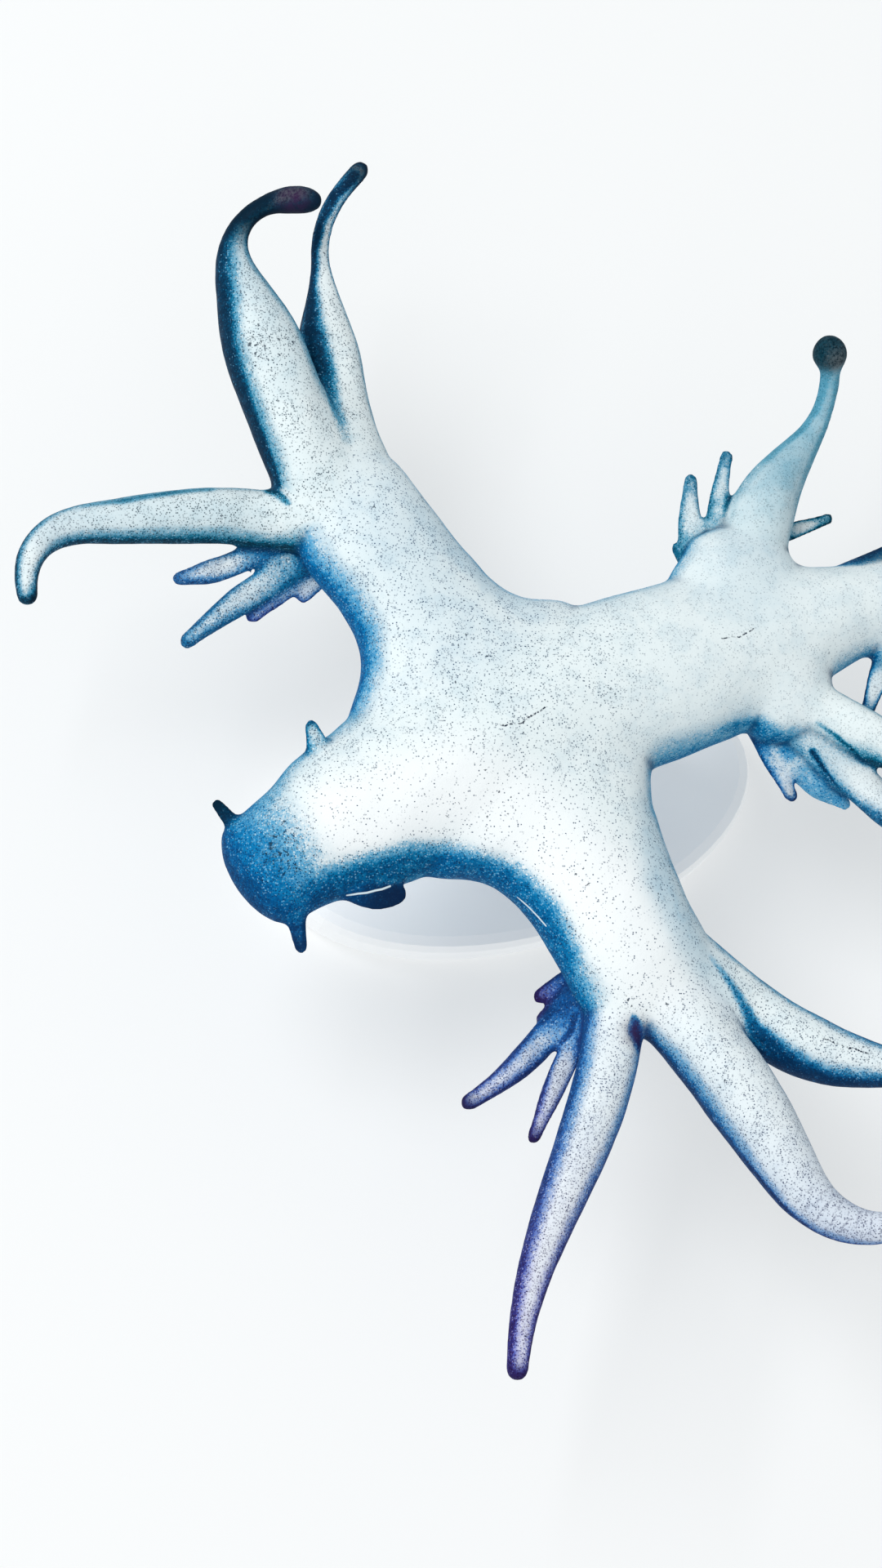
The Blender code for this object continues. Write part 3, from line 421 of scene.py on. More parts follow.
def ceras_line(one):
    """The bent line of a ceras or feeler, with its radius. Distances count from where it leaves the arm."""
    share = np.linspace(0.0, 1.0, STEPS_PER_CERAS + 1)
    middle = (share[1:] + share[:-1]) / 2
    ease = smooth_step((middle - one.bend) / (1 - one.bend))
    heading = np.radians(one.heading + one.turn * ease + one.sway * np.sin(np.pi * middle))
    rise = np.radians(one.rise + one.lift * ease)
    level = np.cos(rise)
    step = np.column_stack([np.cos(heading) * level, np.sin(heading) * level, np.sin(rise)])
    path = np.cumsum(step, axis=0) * one.length / STEPS_PER_CERAS
    points = np.vstack([one.root, np.asarray(one.root) + path])
    narrow = smooth_step((share - one.narrow_from) / (one.narrow_to - one.narrow_from))
    radius = one.thick + (one.tip - one.thick) * narrow
    if one.bulb:
        radius += (one.bulb - one.tip) * smooth_step((share - BULB_START) / BULB_SWELL)
    reach = one.thick * ROOT_REACH
    deep = np.linspace(1.0, 0.0, ROOT_STEPS, endpoint=False)
    inner = np.asarray(one.root) - step[0] * (deep * reach)[:, None]
    inner[:, 2] -= ROOT_DROP * reach * deep**2
    points = np.vstack([inner, points])
    radius = np.concatenate([one.thick * (1.0 - (1.0 - ROOT_NARROW) * deep**2), radius])
    line = with_directions(points, np.column_stack([radius] * 4))
    line[:, 0] -= line[ROOT_STEPS, 0]
    return line


def foot_line(body):
    """The sole: a low band under the middle line of the body."""
    line = body.copy()
    line[:, 3] -= body[:, 9] * FOOT_DROP
    line[:, 6:8] = body[:, 6:8] * FOOT_WIDTH_SHARE
    line[:, 8:10] = body[:, 9:10] * FOOT_HEIGHT_SHARE
    return line


def rows_at(line, distances):
    return np.column_stack([np.interp(distances, line[:, 0], line[:, k]) for k in range(line.shape[1])])


def upward_of(rows):
    heading, rise = rows[:, 4], rows[:, 5]
    return np.column_stack([-np.cos(heading) * np.sin(rise), -np.sin(heading) * np.sin(rise), np.cos(rise)])


# What a vertex takes from the piece that it lies on, in the columns of one array.
FIELDS = "up_x up_y up_z start teal violet dark head ceras thin deepest".split()


def tube_faces(rings, sides):
    """The quads between rings of points, ring by ring, and then the two ends."""
    faces = []
    for a in range(0, (rings - 1) * sides, sides):
        for k in range(sides):
            n = (k + 1) % sides
            faces.append((a + k, a + n, a + sides + n, a + sides + k))
    last = (rings - 1) * sides
    return faces + [tuple(reversed(range(sides))), tuple(range(last, last + sides))]


def add_object(name, data):
    obj = bpy.data.objects.new(name, data)
    bpy.context.scene.collection.objects.link(obj)
    return obj


class Pieces:
    """The closed tubes that the skin is merged from, with the fields of each face."""

    def __init__(self):
        self.points = []
        self.faces = []
        self.fields = []
        self.count = 0

    def add(self, points, faces, fields):
        self.points.append(points)
        self.faces += [tuple(k + self.count for k in face) for face in faces]
        self.fields.append(fields)
        self.count += len(points)

    def tube(self, line, start, end, style, cap_start=0.0, cap_end=0.0, kind="limb", length=None):
        """A closed tube along the line, with round caps or flat ends. length is that of the whole limb."""
        inner, outer = start + cap_start, end - cap_end
        count = max(3, round((outer - inner) / RING_SPACING) + 1)
        places = list(np.linspace(inner, outer, count))
        scales = [1.0] * count
        angles = [math.radians(CAP_END * (k + 1) / CAP_STEPS) for k in range(CAP_STEPS)]
        if cap_end:
            places += [outer + cap_end * math.sin(a) for a in angles]
            scales += [math.cos(a) for a in angles]
        if cap_start:
            places = [inner - cap_start * math.sin(a) for a in reversed(angles)] + places
            scales = [math.cos(a) for a in reversed(angles)] + scales
        rows = rows_at(line, np.array(places))
        upward = upward_of(rows)
        across = np.column_stack([-np.sin(rows[:, 4]), np.cos(rows[:, 4]), np.zeros(len(rows))])
        turn = 2 * math.pi * np.arange(SIDES) / SIDES
        wide = np.where(np.cos(turn) > 0, rows[:, 6:7], rows[:, 7:8]) * np.cos(turn)
        high = np.where(np.sin(turn) > 0, rows[:, 8:9], rows[:, 9:10]) * np.sin(turn)
        scale = np.array(scales)[:, None]
        aside = across[:, None, :] * (wide * scale)[:, :, None]
        above = upward[:, None, :] * (high * scale)[:, :, None]
        points = (rows[:, None, 1:4] + aside + above).reshape(-1, 3)
        last = len(rows) - 1
        rings = np.concatenate([np.repeat(np.arange(last), SIDES), [0, last]])
        origin = max(start, 0.0)
        share = np.maximum(np.array(places) - origin, 0.0) / ((length or end) - origin)
        fields = self.fields_of(share, np.array(places), rows[:, 6].max(), upward, style, kind)
        self.add(points, tube_faces(len(rows), SIDES), fields[rings])

    def fields_of(self, share, places, width, upward, style, kind):
        start = style.start + (style.start_tip - style.start) * smooth_step(share)
        dark = style.dark * smooth_step((share - style.dark_from) / (style.dark_to - style.dark_from))
        grown = smooth_step((share - VIOLET_GROWS[0]) / VIOLET_GROWS[1])
        violet = style.violet * (VIOLET_ROOT + (1 - VIOLET_ROOT) * grown if kind == "ceras" else 1.0)
        head = 1.0 - smooth_step((places - HEAD_FROM) / HEAD_FADE) if kind == "body" else 0.0
        ceras = share if kind == "ceras" else 0.0
        thin = 1.0 - smooth_step((width - THIN_CERAS) / (THICK_CERAS - THIN_CERAS))
        columns = [start, style.teal, violet, dark, head, ceras, thin, style.deepest]
        return np.column_stack([upward] + [value + np.zeros(len(share)) for value in columns])


def ellipsoid(pieces, centre, axes, size, style):
    """A flattened ball with its own three axes, for the lips."""
    points = []
    for i in range(LIP_RINGS + 1):
        tilt = math.radians(-CAP_END + 2 * CAP_END * i / LIP_RINGS)
        for k in range(LIP_SIDES):
            turn = 2 * math.pi * k / LIP_SIDES
            local = (math.cos(tilt) * math.cos(turn), math.cos(tilt) * math.sin(turn), math.sin(tilt))
            points.append(centre + sum(a * s * q for a, s, q in zip(axes, size, local)))
    faces = tube_faces(LIP_RINGS + 1, LIP_SIDES)
    values = {"up_z": 1.0, "head": 1.0, "thin": 0.5}
    values.update((name, getattr(style, name)) for name in ("start", "teal", "violet", "deepest"))
    row = [values.get(name, 0.0) for name in FIELDS]
    pieces.add(np.array(points), faces, np.tile(row, (len(faces), 1)))


def mouth_axes(body):
    row = rows_at(body, np.array([MOUTH_DISTANCE]))[0]
    turn = Matrix.Rotation(row[4], 3, "Z") @ Matrix.Rotation(math.radians(MOUTH_TILT), 3, "Y")
    axes = [np.array(turn.col[k]) for k in range(3)]
    centre = np.array([row[1], row[2], row[3] - row[9] * MOUTH_DROP])
    return centre, axes


def all_pieces():
    pieces = Pieces()
    body = limb_line(BODY_STATIONS, BELLY_SHARE)
    pieces.tube(body, 0.0, body[-1, 0], BODY_STYLE, SNOUT_CAP, TAIL_CAP, "body")
    pieces.tube(foot_line(body), *FOOT_RANGE, BODY_STYLE, *FOOT_CAPS)
    centre, axes = mouth_axes(body)
    ellipsoid(pieces, centre, axes, LIP_SIZE, BODY_STYLE)
    for name, (stations, cap) in ARM_STATIONS.items():
        line = limb_line(stations)
        pieces.tube(line, 0.0, line[-1, 0], ARM_STYLES[name], 0.0, cap)
        for place, (one, style) in enumerate(zip(CERATA[name], CERAS_STYLES[name])):
            cap = max(one.bulb, one.tip) * one.point
            line = ceras_line(one)
            pieces.tube(line, line[0, 0], one.length, style, 0.0, cap, "ceras")
            if (name, place) in SHOULDERS:
                height, reach = SHOULDERS[name, place]
                lift = height * (1.0 - smooth_step(line[:, 0] / reach))
                back = camera_axes()[0]
                raised = line.copy()
                raised[:, 1:4] += np.outer(lift, np.array(back) / back.z)
                pieces.tube(raised, line[0, 0], reach, style, 0.0, 0.0, "ceras", one.length)
    pieces.tube(ceras_line(TAIL_FOLD), 0.0, TAIL_FOLD.length, TAIL_FOLD_STYLE, 0.5, 0.5, "ceras")
    for name, one in FEELERS.items():
        pieces.tube(ceras_line(one), 0.0, one.length, FEELER_STYLES[name], 0.0, one.tip * one.point, "ceras")
    return pieces


def read_all(items, name, width=1, kind=np.int64):
    values = np.empty(len(items) * width, kind)
    items.foreach_get(name, values)
    return values


def merged(pieces):
    """One closed surface round all the pieces, as points and quads in millimetres."""
    data = bpy.data.meshes.new("merge")
    data.from_pydata(np.concatenate(pieces.points).tolist(), [], pieces.faces)
    obj = add_object("merge", data)
    modifier = obj.modifiers.new("merge", "REMESH")
    modifier.mode = "VOXEL"
    modifier.voxel_size = VOXEL
    bpy.context.view_layer.update()
    result = obj.evaluated_get(bpy.context.evaluated_depsgraph_get()).to_mesh()
    points = read_all(result.vertices, "co", 3, float)
    corners = read_all(result.loops, "vertex_index")
    sizes = read_all(result.polygons, "loop_total")
    bpy.data.objects.remove(obj, do_unlink=True)
    bpy.data.meshes.remove(data)
    if (sizes != 4).any():
        raise ValueError("the merge gives quads only")
    return points.reshape(-1, 3), corners.reshape(-1, 4)


class Surface:
    """Points and quads with the sums that smoothing needs."""

    def __init__(self, points, quads):
        self.points = points
        self.quads = quads
        sides = np.concatenate([quads[:, [k, (k + 1) % 4]] for k in range(4)])
        sides = np.unique(np.sort(sides, axis=1), axis=0)
        self.start = np.concatenate([sides[:, 0], sides[:, 1]])
        self.end = np.concatenate([sides[:, 1], sides[:, 0]])
        self.degree = np.bincount(self.start, minlength=len(points)).astype(float)

    def average(self, values):
        """The mean of each vertex's neighbours, for one column or several."""
        columns = values.reshape(len(values), -1)
        total = [np.bincount(self.start, weights=c[self.end], minlength=len(c)) for c in columns.T]
        return (np.column_stack(total) / self.degree[:, None]).reshape(values.shape)

    def normals(self):
        corner = self.points[self.quads]
        face = np.cross(corner[:, 2] - corner[:, 0], corner[:, 3] - corner[:, 1])
        count = len(self.points)
        total = np.column_stack([
            sum(np.bincount(self.quads[:, c], weights=face[:, k], minlength=count) for c in range(4))
            for k in range(3)
        ])
        return total / np.maximum(np.linalg.norm(total, axis=1), 1e-12)[:, None]

    def fair(self, rounds):
        """Takes the voxel steps out and keeps the volume."""
        for _ in range(rounds):
            for rate in TAUBIN:
                self.points = self.points + rate * (self.average(self.points) - self.points)

    def fill_creases(self, rounds, rate):
        """Rounds every hollow crease, and leaves the outward forms as they are."""
        for _ in range(rounds):
            normal = self.normals()
            inward = ((self.average(self.points) - self.points) * normal).sum(axis=1)
            inward = np.maximum(inward, 0.0)
            self.points = self.points + normal * (rate * inward)[:, None]


def nearest_fields(pieces, surface):
    """The fields of the piece nearest to each vertex, spread a little so that pieces blend."""
    tree = BVHTree.FromPolygons(np.concatenate(pieces.points).tolist(), pieces.faces)
    fields = np.concatenate(pieces.fields)
    found = [tree.find_nearest(Vector(point))[2] for point in surface.points]
    values = fields[np.array(found)]
    for _ in range(SPREAD_ROUNDS):
        values = 0.5 * values + 0.5 * surface.average(values)
    return {name: values[:, k] for k, name in enumerate(FIELDS)}


def wave(points, scale, seed):
    """A smooth uneven value from -1 to 1, from a few crossing waves. It has no random draw."""
    total = np.zeros(len(points))
    for k in range(5):
        a = seed + 1.7 * k
        direction = np.array([math.sin(2.1 * a), math.cos(3.3 * a), math.sin(1.3 * a + 2.0)])
        total += np.sin(points @ direction * scale * (0.8 + 0.27 * k) + 4.0 * a)
    return total / 5


def build_skin():
    pieces = all_pieces()
    points, quads = merged(pieces)
    surface = Surface(points, quads)
    surface.fair(FIRST_ROUNDS)
    fields = nearest_fields(pieces, surface)
    before = surface.points.copy()
    surface.fill_creases(FILLET_ROUNDS, FILLET_RATE * (1.0 - THIN_SPARED * fields["thin"]))
    filled = np.linalg.norm(surface.points - before, axis=1)
    surface.fair(SMOOTH_ROUNDS)
    level_joins(surface, filled)
    surface.fair(SMOOTH_ROUNDS)
    normal = surface.normals()
    soft_normal = normal.copy()
    for _ in range(NORMAL_ROUNDS):
        soft_normal = surface.average(soft_normal)
    carve_mouth(surface, normal)
    wrinkle(surface, soft_normal)
    masks = skin_masks(surface, soft_normal, fields, filled)
    return skin_object(surface, masks)


def level_joins(surface, filled):
    """Draws back and belly smooth over the joins of body, arms and cerata. The outline from above stays."""
    size = VOXEL / VOXEL
    near = np.clip(filled / JOIN_HOLLOW, 0.0, JOIN_MOST)
    for _ in range(round(JOIN_REACH_ROUNDS / size**2)):
        near = near + JOIN_SPREAD * (surface.average(near) - near)
    near = np.clip(near * JOIN_GAIN, 0.0, 1.0)
    for k in range(round(LEVEL_ROUNDS / size**2)):
        if k % FACING_EVERY == 0:
            flat = smooth_step((np.abs(surface.normals()[:, 2]) - LEVEL_FACING[0]) / LEVEL_FACING[1])
            weight = LEVEL_RATE * near * flat
        height = surface.points[:, 2]
        surface.points[:, 2] = height + weight * (surface.average(height) - height)


def carve_mouth(surface, normal):
    """A shallow slit with rounded lips, under the snout."""
    body = limb_line(BODY_STATIONS, BELLY_SHARE)
    centre, axes = mouth_axes(body)
    offset = surface.points - centre
    along = offset @ axes[0] / SLIT_SIZE[0]
    across = offset @ axes[1] / SLIT_SIZE[1]
    below = (offset @ axes[2] < 0.1) & (normal[:, 2] < 0)
    depth = np.clip(1 - along**2 - across**2, 0.0, 1.0) ** 1.5
    surface.points = surface.points + axes[2] * (SLIT_SIZE[2] * depth * below)[:, None]


def wrinkle(surface, normal):
    """Low uneven folds over the skin."""
    height = sum(wave(surface.points, scale, seed) * depth for scale, seed, depth in WRINKLES)
    surface.points = surface.points + normal * height[:, None]


def band(points, corners):
    """The strength of a band at each point, fading to 0 over its width."""
    total = np.zeros(len(points))
    corners = np.array(corners)
    for a, b in zip(corners, corners[1:]):
        along = b[:3] - a[:3]
        share = np.clip((points - a[:3]) @ along / (along @ along), 0.0, 1.0)
        distance = np.linalg.norm(points - a[:3] - share[:, None] * along, axis=1)
        width = a[3] + (b[3] - a[3]) * share
        strength = a[4] + (b[4] - a[4]) * share
        total = np.maximum(total, strength * (1.0 - smooth_step(distance / width - BAND_CORE)))
    return total


def spots(points, places):
    """The strength of each place in its middle, falling to 0 at its radius."""
    total = np.zeros(len(points))
    for x, y, z, radius, strength in places:
        distance = np.linalg.norm(points - np.array([x, y, z]), axis=1)
        total = np.maximum(total, strength * (1.0 - smooth_step(distance / radius)))
    return total


def strongest(bands, points):
    return np.max([band(points, corners) for corners in bands], axis=0)


def skin_masks(surface, normal, fields, filled):
    """What the material reads at each vertex. slope is in degrees above the level of the piece's own side."""
    points = surface.points
    upward = np.column_stack([fields["up_x"], fields["up_y"], fields["up_z"]])
    upward /= np.linalg.norm(upward, axis=1)[:, None]
    slope = np.degrees(np.arcsin(np.clip((normal * upward).sum(axis=1), -1.0, 1.0)))
    bearing = math.radians(CAMERA_BEARING)
    facing = normal[:, 0] * math.cos(bearing) + normal[:, 1] * math.sin(bearing)
    lean = BODY_LEAN - CERAS_LEAN_LOSS * smooth_step(fields["ceras"] / CERAS_LEAN_END)
    start = fields["start"] + lean * facing
    margin = np.clip((start - slope) / MARGIN_SPREAD, 0.0, 1.0)
    # The bands add blue markings, and painted shade in notches, corners and hollows.
    margin = np.maximum(margin * fields["deepest"], strongest(BLUE_AND_SHADE_BANDS, points))
    head = fields["head"] * (HEAD_BLUE + HEAD_BLUE_LEAN * facing)
    return {
        "margin": 1 - (1 - margin) * (1 - np.clip(head, 0, 1)),
        # Painted shade on skin that slopes away from the top of its piece.
        "haze": smooth_step((SLOPE_SHADE_SLOPES[0] - slope) / SLOPE_SHADE_SLOPES[1]),
        # The bands of painted shade.
        "soft": strongest(SHADE_BANDS, points),
        # The painted highlight.
        "pale": strongest(HIGHLIGHT_BANDS, points),
        "thin": fields["thin"],
        "folds": spots(points, FOLD_SPOTS),
        "plum": spots(points, PLUM_SPOTS),
        "dashes": spots(points, DASH_SPOTS),
        "under": smooth_step((UNDER_SLOPES[0] - slope) / UNDER_SLOPES[1]),
        "dark": np.clip(fields["dark"], 0.0, 1.0),
        "teal": fields["teal"] * (1.0 - HEAD_TEAL_LOSS * fields["head"]),
        "violet": fields["violet"],
        # Painted shade in the creases that the filling rounded.
        "hollow": smooth_step(filled / CREASE_SHADE_DEPTH) * (
            1.0 - smooth_step((slope - CREASE_SHADE_SLOPES[0]) / CREASE_SHADE_SLOPES[1])),
        "ceras": fields["ceras"],
    }


def skin_object(surface, masks):
    data = bpy.data.meshes.new("slug_skin")
    count = len(surface.quads)
    data.vertices.add(len(surface.points))
    data.vertices.foreach_set("co", ((surface.points + MODEL_AT) * MM).astype(np.float32).ravel())
    data.loops.add(count * 4)
    data.loops.foreach_set("vertex_index", surface.quads.astype(np.int32).ravel())
    data.polygons.add(count)
    data.polygons.foreach_set("loop_start", np.arange(0, count * 4, 4, dtype=np.int32))
    data.update(calc_edges=True)
    data.validate()
    for name, values in masks.items():
        attribute = data.attributes.new(name, "FLOAT", "POINT")
        attribute.data.foreach_set("value", values.astype(np.float32))
    data.polygons.foreach_set("use_smooth", np.ones(count, bool))
    return add_object("slug_skin", data)


def rgb(red, green, blue):
    """A linear colour from the values that a picture shows, 0 to 255."""
    values = [v / 255.0 for v in (red, green, blue)]
    return tuple(v / 12.92 if v <= 0.04045 else ((v + 0.055) / 1.055) ** 2.4 for v in values) + (1.0,)


# The skin from the silver back to the deepest blue of a side, in its three colours.
TONE_PLACES = (0.0, 0.2, 0.42, 0.62, 0.8, 1.0)
BLUE_TONES = [rgb(*c) for c in (
    (230, 240, 242), (192, 214, 226), (98, 170, 210), (12, 126, 188), (0, 94, 158), (2, 60, 112))]
TEAL_TONES = [rgb(*c) for c in (
    (230, 240, 241), (190, 213, 221), (100, 164, 188), (12, 116, 146), (2, 72, 96), (1, 38, 52))]
VIOLET_TONES = [rgb(*c) for c in (
    (226, 230, 240), (200, 202, 226), (146, 152, 204), (88, 98, 176), (54, 52, 128), (30, 22, 76))]
# Other marks, in blue, teal and violet skin.
DOT_TONES = (rgb(22, 62, 104), rgb(14, 50, 66), rgb(54, 34, 84))
UNDER_TONES = (rgb(20, 120, 176), rgb(8, 104, 122), rgb(84, 70, 150))
TIP_TONES = (rgb(10, 28, 56), rgb(4, 34, 46), rgb(40, 22, 62))
# Painted shade in the hollows between cerata.
CREASE_SHADE_TONES = (rgb(14, 66, 118), rgb(6, 56, 84), rgb(58, 40, 108))
LIGHT_GRAIN, LIGHT_GRAIN_VIOLET = rgb(130, 190, 222), rgb(176, 168, 214)
# The white of the painted highlight.
HIGHLIGHT_WHITE = rgb(248, 250, 251)
FLECK = rgb(20, 40, 62)
# The painted shade in the grooves of the folds.
FOLD = rgb(58, 62, 104)
PLUM = rgb(58, 34, 70)
# Painted crease shade and painted highlight lines.
CREASE_SHADE_LINE, HIGHLIGHT_LINE = rgb(24, 38, 60), rgb(224, 240, 246)
# Sizes of the patterns, as scales per millimetre.
CLOUD, PATCH, MOTTLE, GRAIN, DOTS, FLECKS, GRAIN_CELLS = 0.38, 1.1, 2.6, 9.0, 15.5, 7.0, 11.0
GRAIN_SPREAD = 0.62
LINE_WIDTHS = (0.055, 0.05)
# How much of the skin each mark covers.
HIGHLIGHT_COVER, FLECK_COVER, FOLD_COVER, GRAIN_COVER = 0.75, 0.85, 0.55, 0.58
UNDER_COVER, PLUM_COVER, CREASE_SHADE_COVER, LINE_COVER = 0.65, 0.8, 0.85, 0.9
SKIN_SPECULAR = 0.03
SKIN_BUMP = {"Strength": 0.35, "Distance": 0.00004}
STAND_BUMP = {"Strength": 0.25, "Distance": 0.00002}
STAND_ROUGHNESS = 0.42
STAND_TONES = ((0.3, (0.84, 0.85, 0.86, 1)), (0.7, (0.89, 0.9, 0.9, 1)))
FLOOR_TONES = ((0.3, (0.47, 0.475, 0.48, 1)), (0.7, (0.48, 0.48, 0.485, 1)))
# The faint glow of stand and floor, which stands in for a white studio all round.
GLOW = (0.97, 0.99, 0.985, 1)
STAND_GLOW = 0.22
FLOOR_GLOW = 0.48
FLOOR_SIDE = 6.0
WORLD = ((0.95, 0.98, 1.0, 1), 0.5)
# Lamps: name, bearing and height in degrees, distance, size, power and colour. They aim at the animal.
LAMPS = (
    ("key", 165.0, 58.0, 0.3, 0.12, 0.5, (1.0, 1.0, 0.99)),
    ("fill", 240.0, 60.0, 0.4, 0.35, 0.25, (0.97, 0.99, 1.0)),
)
LAMP_AIM = Vector((0.0, 0.0, 0.012))
# Outline of a rod: radius and height, above its foot's underside and above the top of its solid.
ROD_SUNK = 0.3
ROD_FOOT = ((1.25, 0.0), (1.25, 0.22), (1.18, 0.32), (1.02, 0.4), (0.88, 0.52), (0.8, 0.75))
ROD_TOP = ((0.8, -1.5), (0.8, -1.1), (0.84, -0.8), (0.92, -0.5), (1.02, -0.2), (1.06, 0.05), (1.0, 0.25),
           (0.8, 0.32))


class Nodes:
    """Short calls for building a material's node tree."""

    def __init__(self, name):
        self.material = bpy.data.materials.new(name)
        self.material.use_nodes = True
        self.tree = self.material.node_tree
        self.shader = self.tree.nodes["Principled BSDF"]

    def new(self, kind, inputs=(), **settings):
        node = self.tree.nodes.new(kind)
        for key, value in settings.items():
            setattr(node, key, value)
        for key, value in dict(inputs).items():
            self.feed(node.inputs[key], value)
        return node

    def feed(self, socket, value):
        if isinstance(value, bpy.types.NodeSocket):
            self.tree.links.new(value, socket)
        else:
            socket.default_value = value

    def surface(self, inputs):
        """Sets the shader's inputs, to a value or to a socket."""
        for key, value in inputs.items():
            self.feed(self.shader.inputs[key], value)

    def attribute(self, name):
        return self.new("ShaderNodeAttribute", attribute_name=name).outputs["Fac"]

    def math(self, operation, first, second=0.0, clamp=False):
        node = self.new("ShaderNodeMath", {0: first, 1: second}, operation=operation, use_clamp=clamp)
        return node.outputs[0]

    def times(self, first, second, clamp=False):
        return self.math("MULTIPLY", first, second, clamp)

    def plus(self, first, second, clamp=False):
        return self.math("ADD", first, second, clamp)

    def less(self, first, second):
        return self.math("SUBTRACT", first, second)

    def centred(self, value, amount):
        """The value less a half, times the amount."""
        return self.times(self.less(value, 0.5), amount)

    def in_mm(self):
        """The place on the object, in millimetres."""
        local = self.new("ShaderNodeTexCoord").outputs["Object"]
        return self.scaled(local, 1000.0)

    def scaled(self, vector, factor):
        node = self.new("ShaderNodeVectorMath", {0: vector, "Scale": factor}, operation="SCALE")
        return node.outputs[0]

    def vector(self, operation, first, second=(0.0, 0.0, 0.0), output="Vector"):
        node = self.new("ShaderNodeVectorMath", {0: first, 1: second}, operation=operation)
        return node.outputs[output]

    def step(self, value, low, high, to_low=0.0, to_high=1.0):
        """A smooth change from to_low at low to to_high at high."""
        inputs = {"Value": value, "From Min": low, "From Max": high, "To Min": to_low, "To Max": to_high}
        return self.new("ShaderNodeMapRange", inputs, interpolation_type="SMOOTHSTEP").outputs[0]

    def mix(self, share, first, second):
        node = self.new("ShaderNodeMix", data_type="RGBA")
        self.feed(node.inputs[0], share)
        self.feed(node.inputs[6], first)
        self.feed(node.inputs[7], second)
        return node.outputs[2]

    def noise(self, place, scale, detail=2.0, roughness=0.5, output="Fac"):
        inputs = {"Vector": place, "Scale": scale, "Detail": detail, "Roughness": roughness}
        return self.new("ShaderNodeTexNoise", inputs).outputs[output]

    def cells(self, place, scale):
        inputs = {"Vector": place, "Scale": scale, "Randomness": 1.0}
        node = self.new("ShaderNodeTexVoronoi", inputs, feature="F1")
        split = self.new("ShaderNodeSeparateColor", {"Color": node.outputs["Color"]})
        return node.outputs["Distance"], split.outputs

    def ramp(self, value, stops):
        node = self.new("ShaderNodeValToRGB", {"Fac": value})
        ramp = node.color_ramp
        while len(ramp.elements) < len(stops):
            ramp.elements.new(0.5)
        for element, (place, colour) in zip(ramp.elements, stops):
            element.position = place
            element.color = colour
        return node.outputs["Color"]

    def line(self, place, points, width):
        """1 on a thin line through the points, 0 off it."""
        total = 0.0
        for a, b in zip(points, points[1:]):
            a, b = Vector(a), Vector(b)
            along = b - a
            offset = self.vector("SUBTRACT", place, tuple(a))
            share = self.vector("DOT_PRODUCT", offset, tuple(along / along.length_squared), "Value")
            share = self.times(share, 1.0, clamp=True)
            distance = self.vector("DISTANCE", offset, self.scaled(tuple(along), share), "Value")
            total = self.math("MAXIMUM", total, self.step(distance, width, width * 0.4))
        return total

    def lines(self, place, all_points, width):
        total = 0.0
        for points in all_points:
            total = self.math("MAXIMUM", total, self.line(place, points, width))
        return total

    def bump(self, height, settings):
        node = self.new("ShaderNodeBump", {"Height": height, **settings})
        self.surface({"Normal": node.outputs["Normal"]})


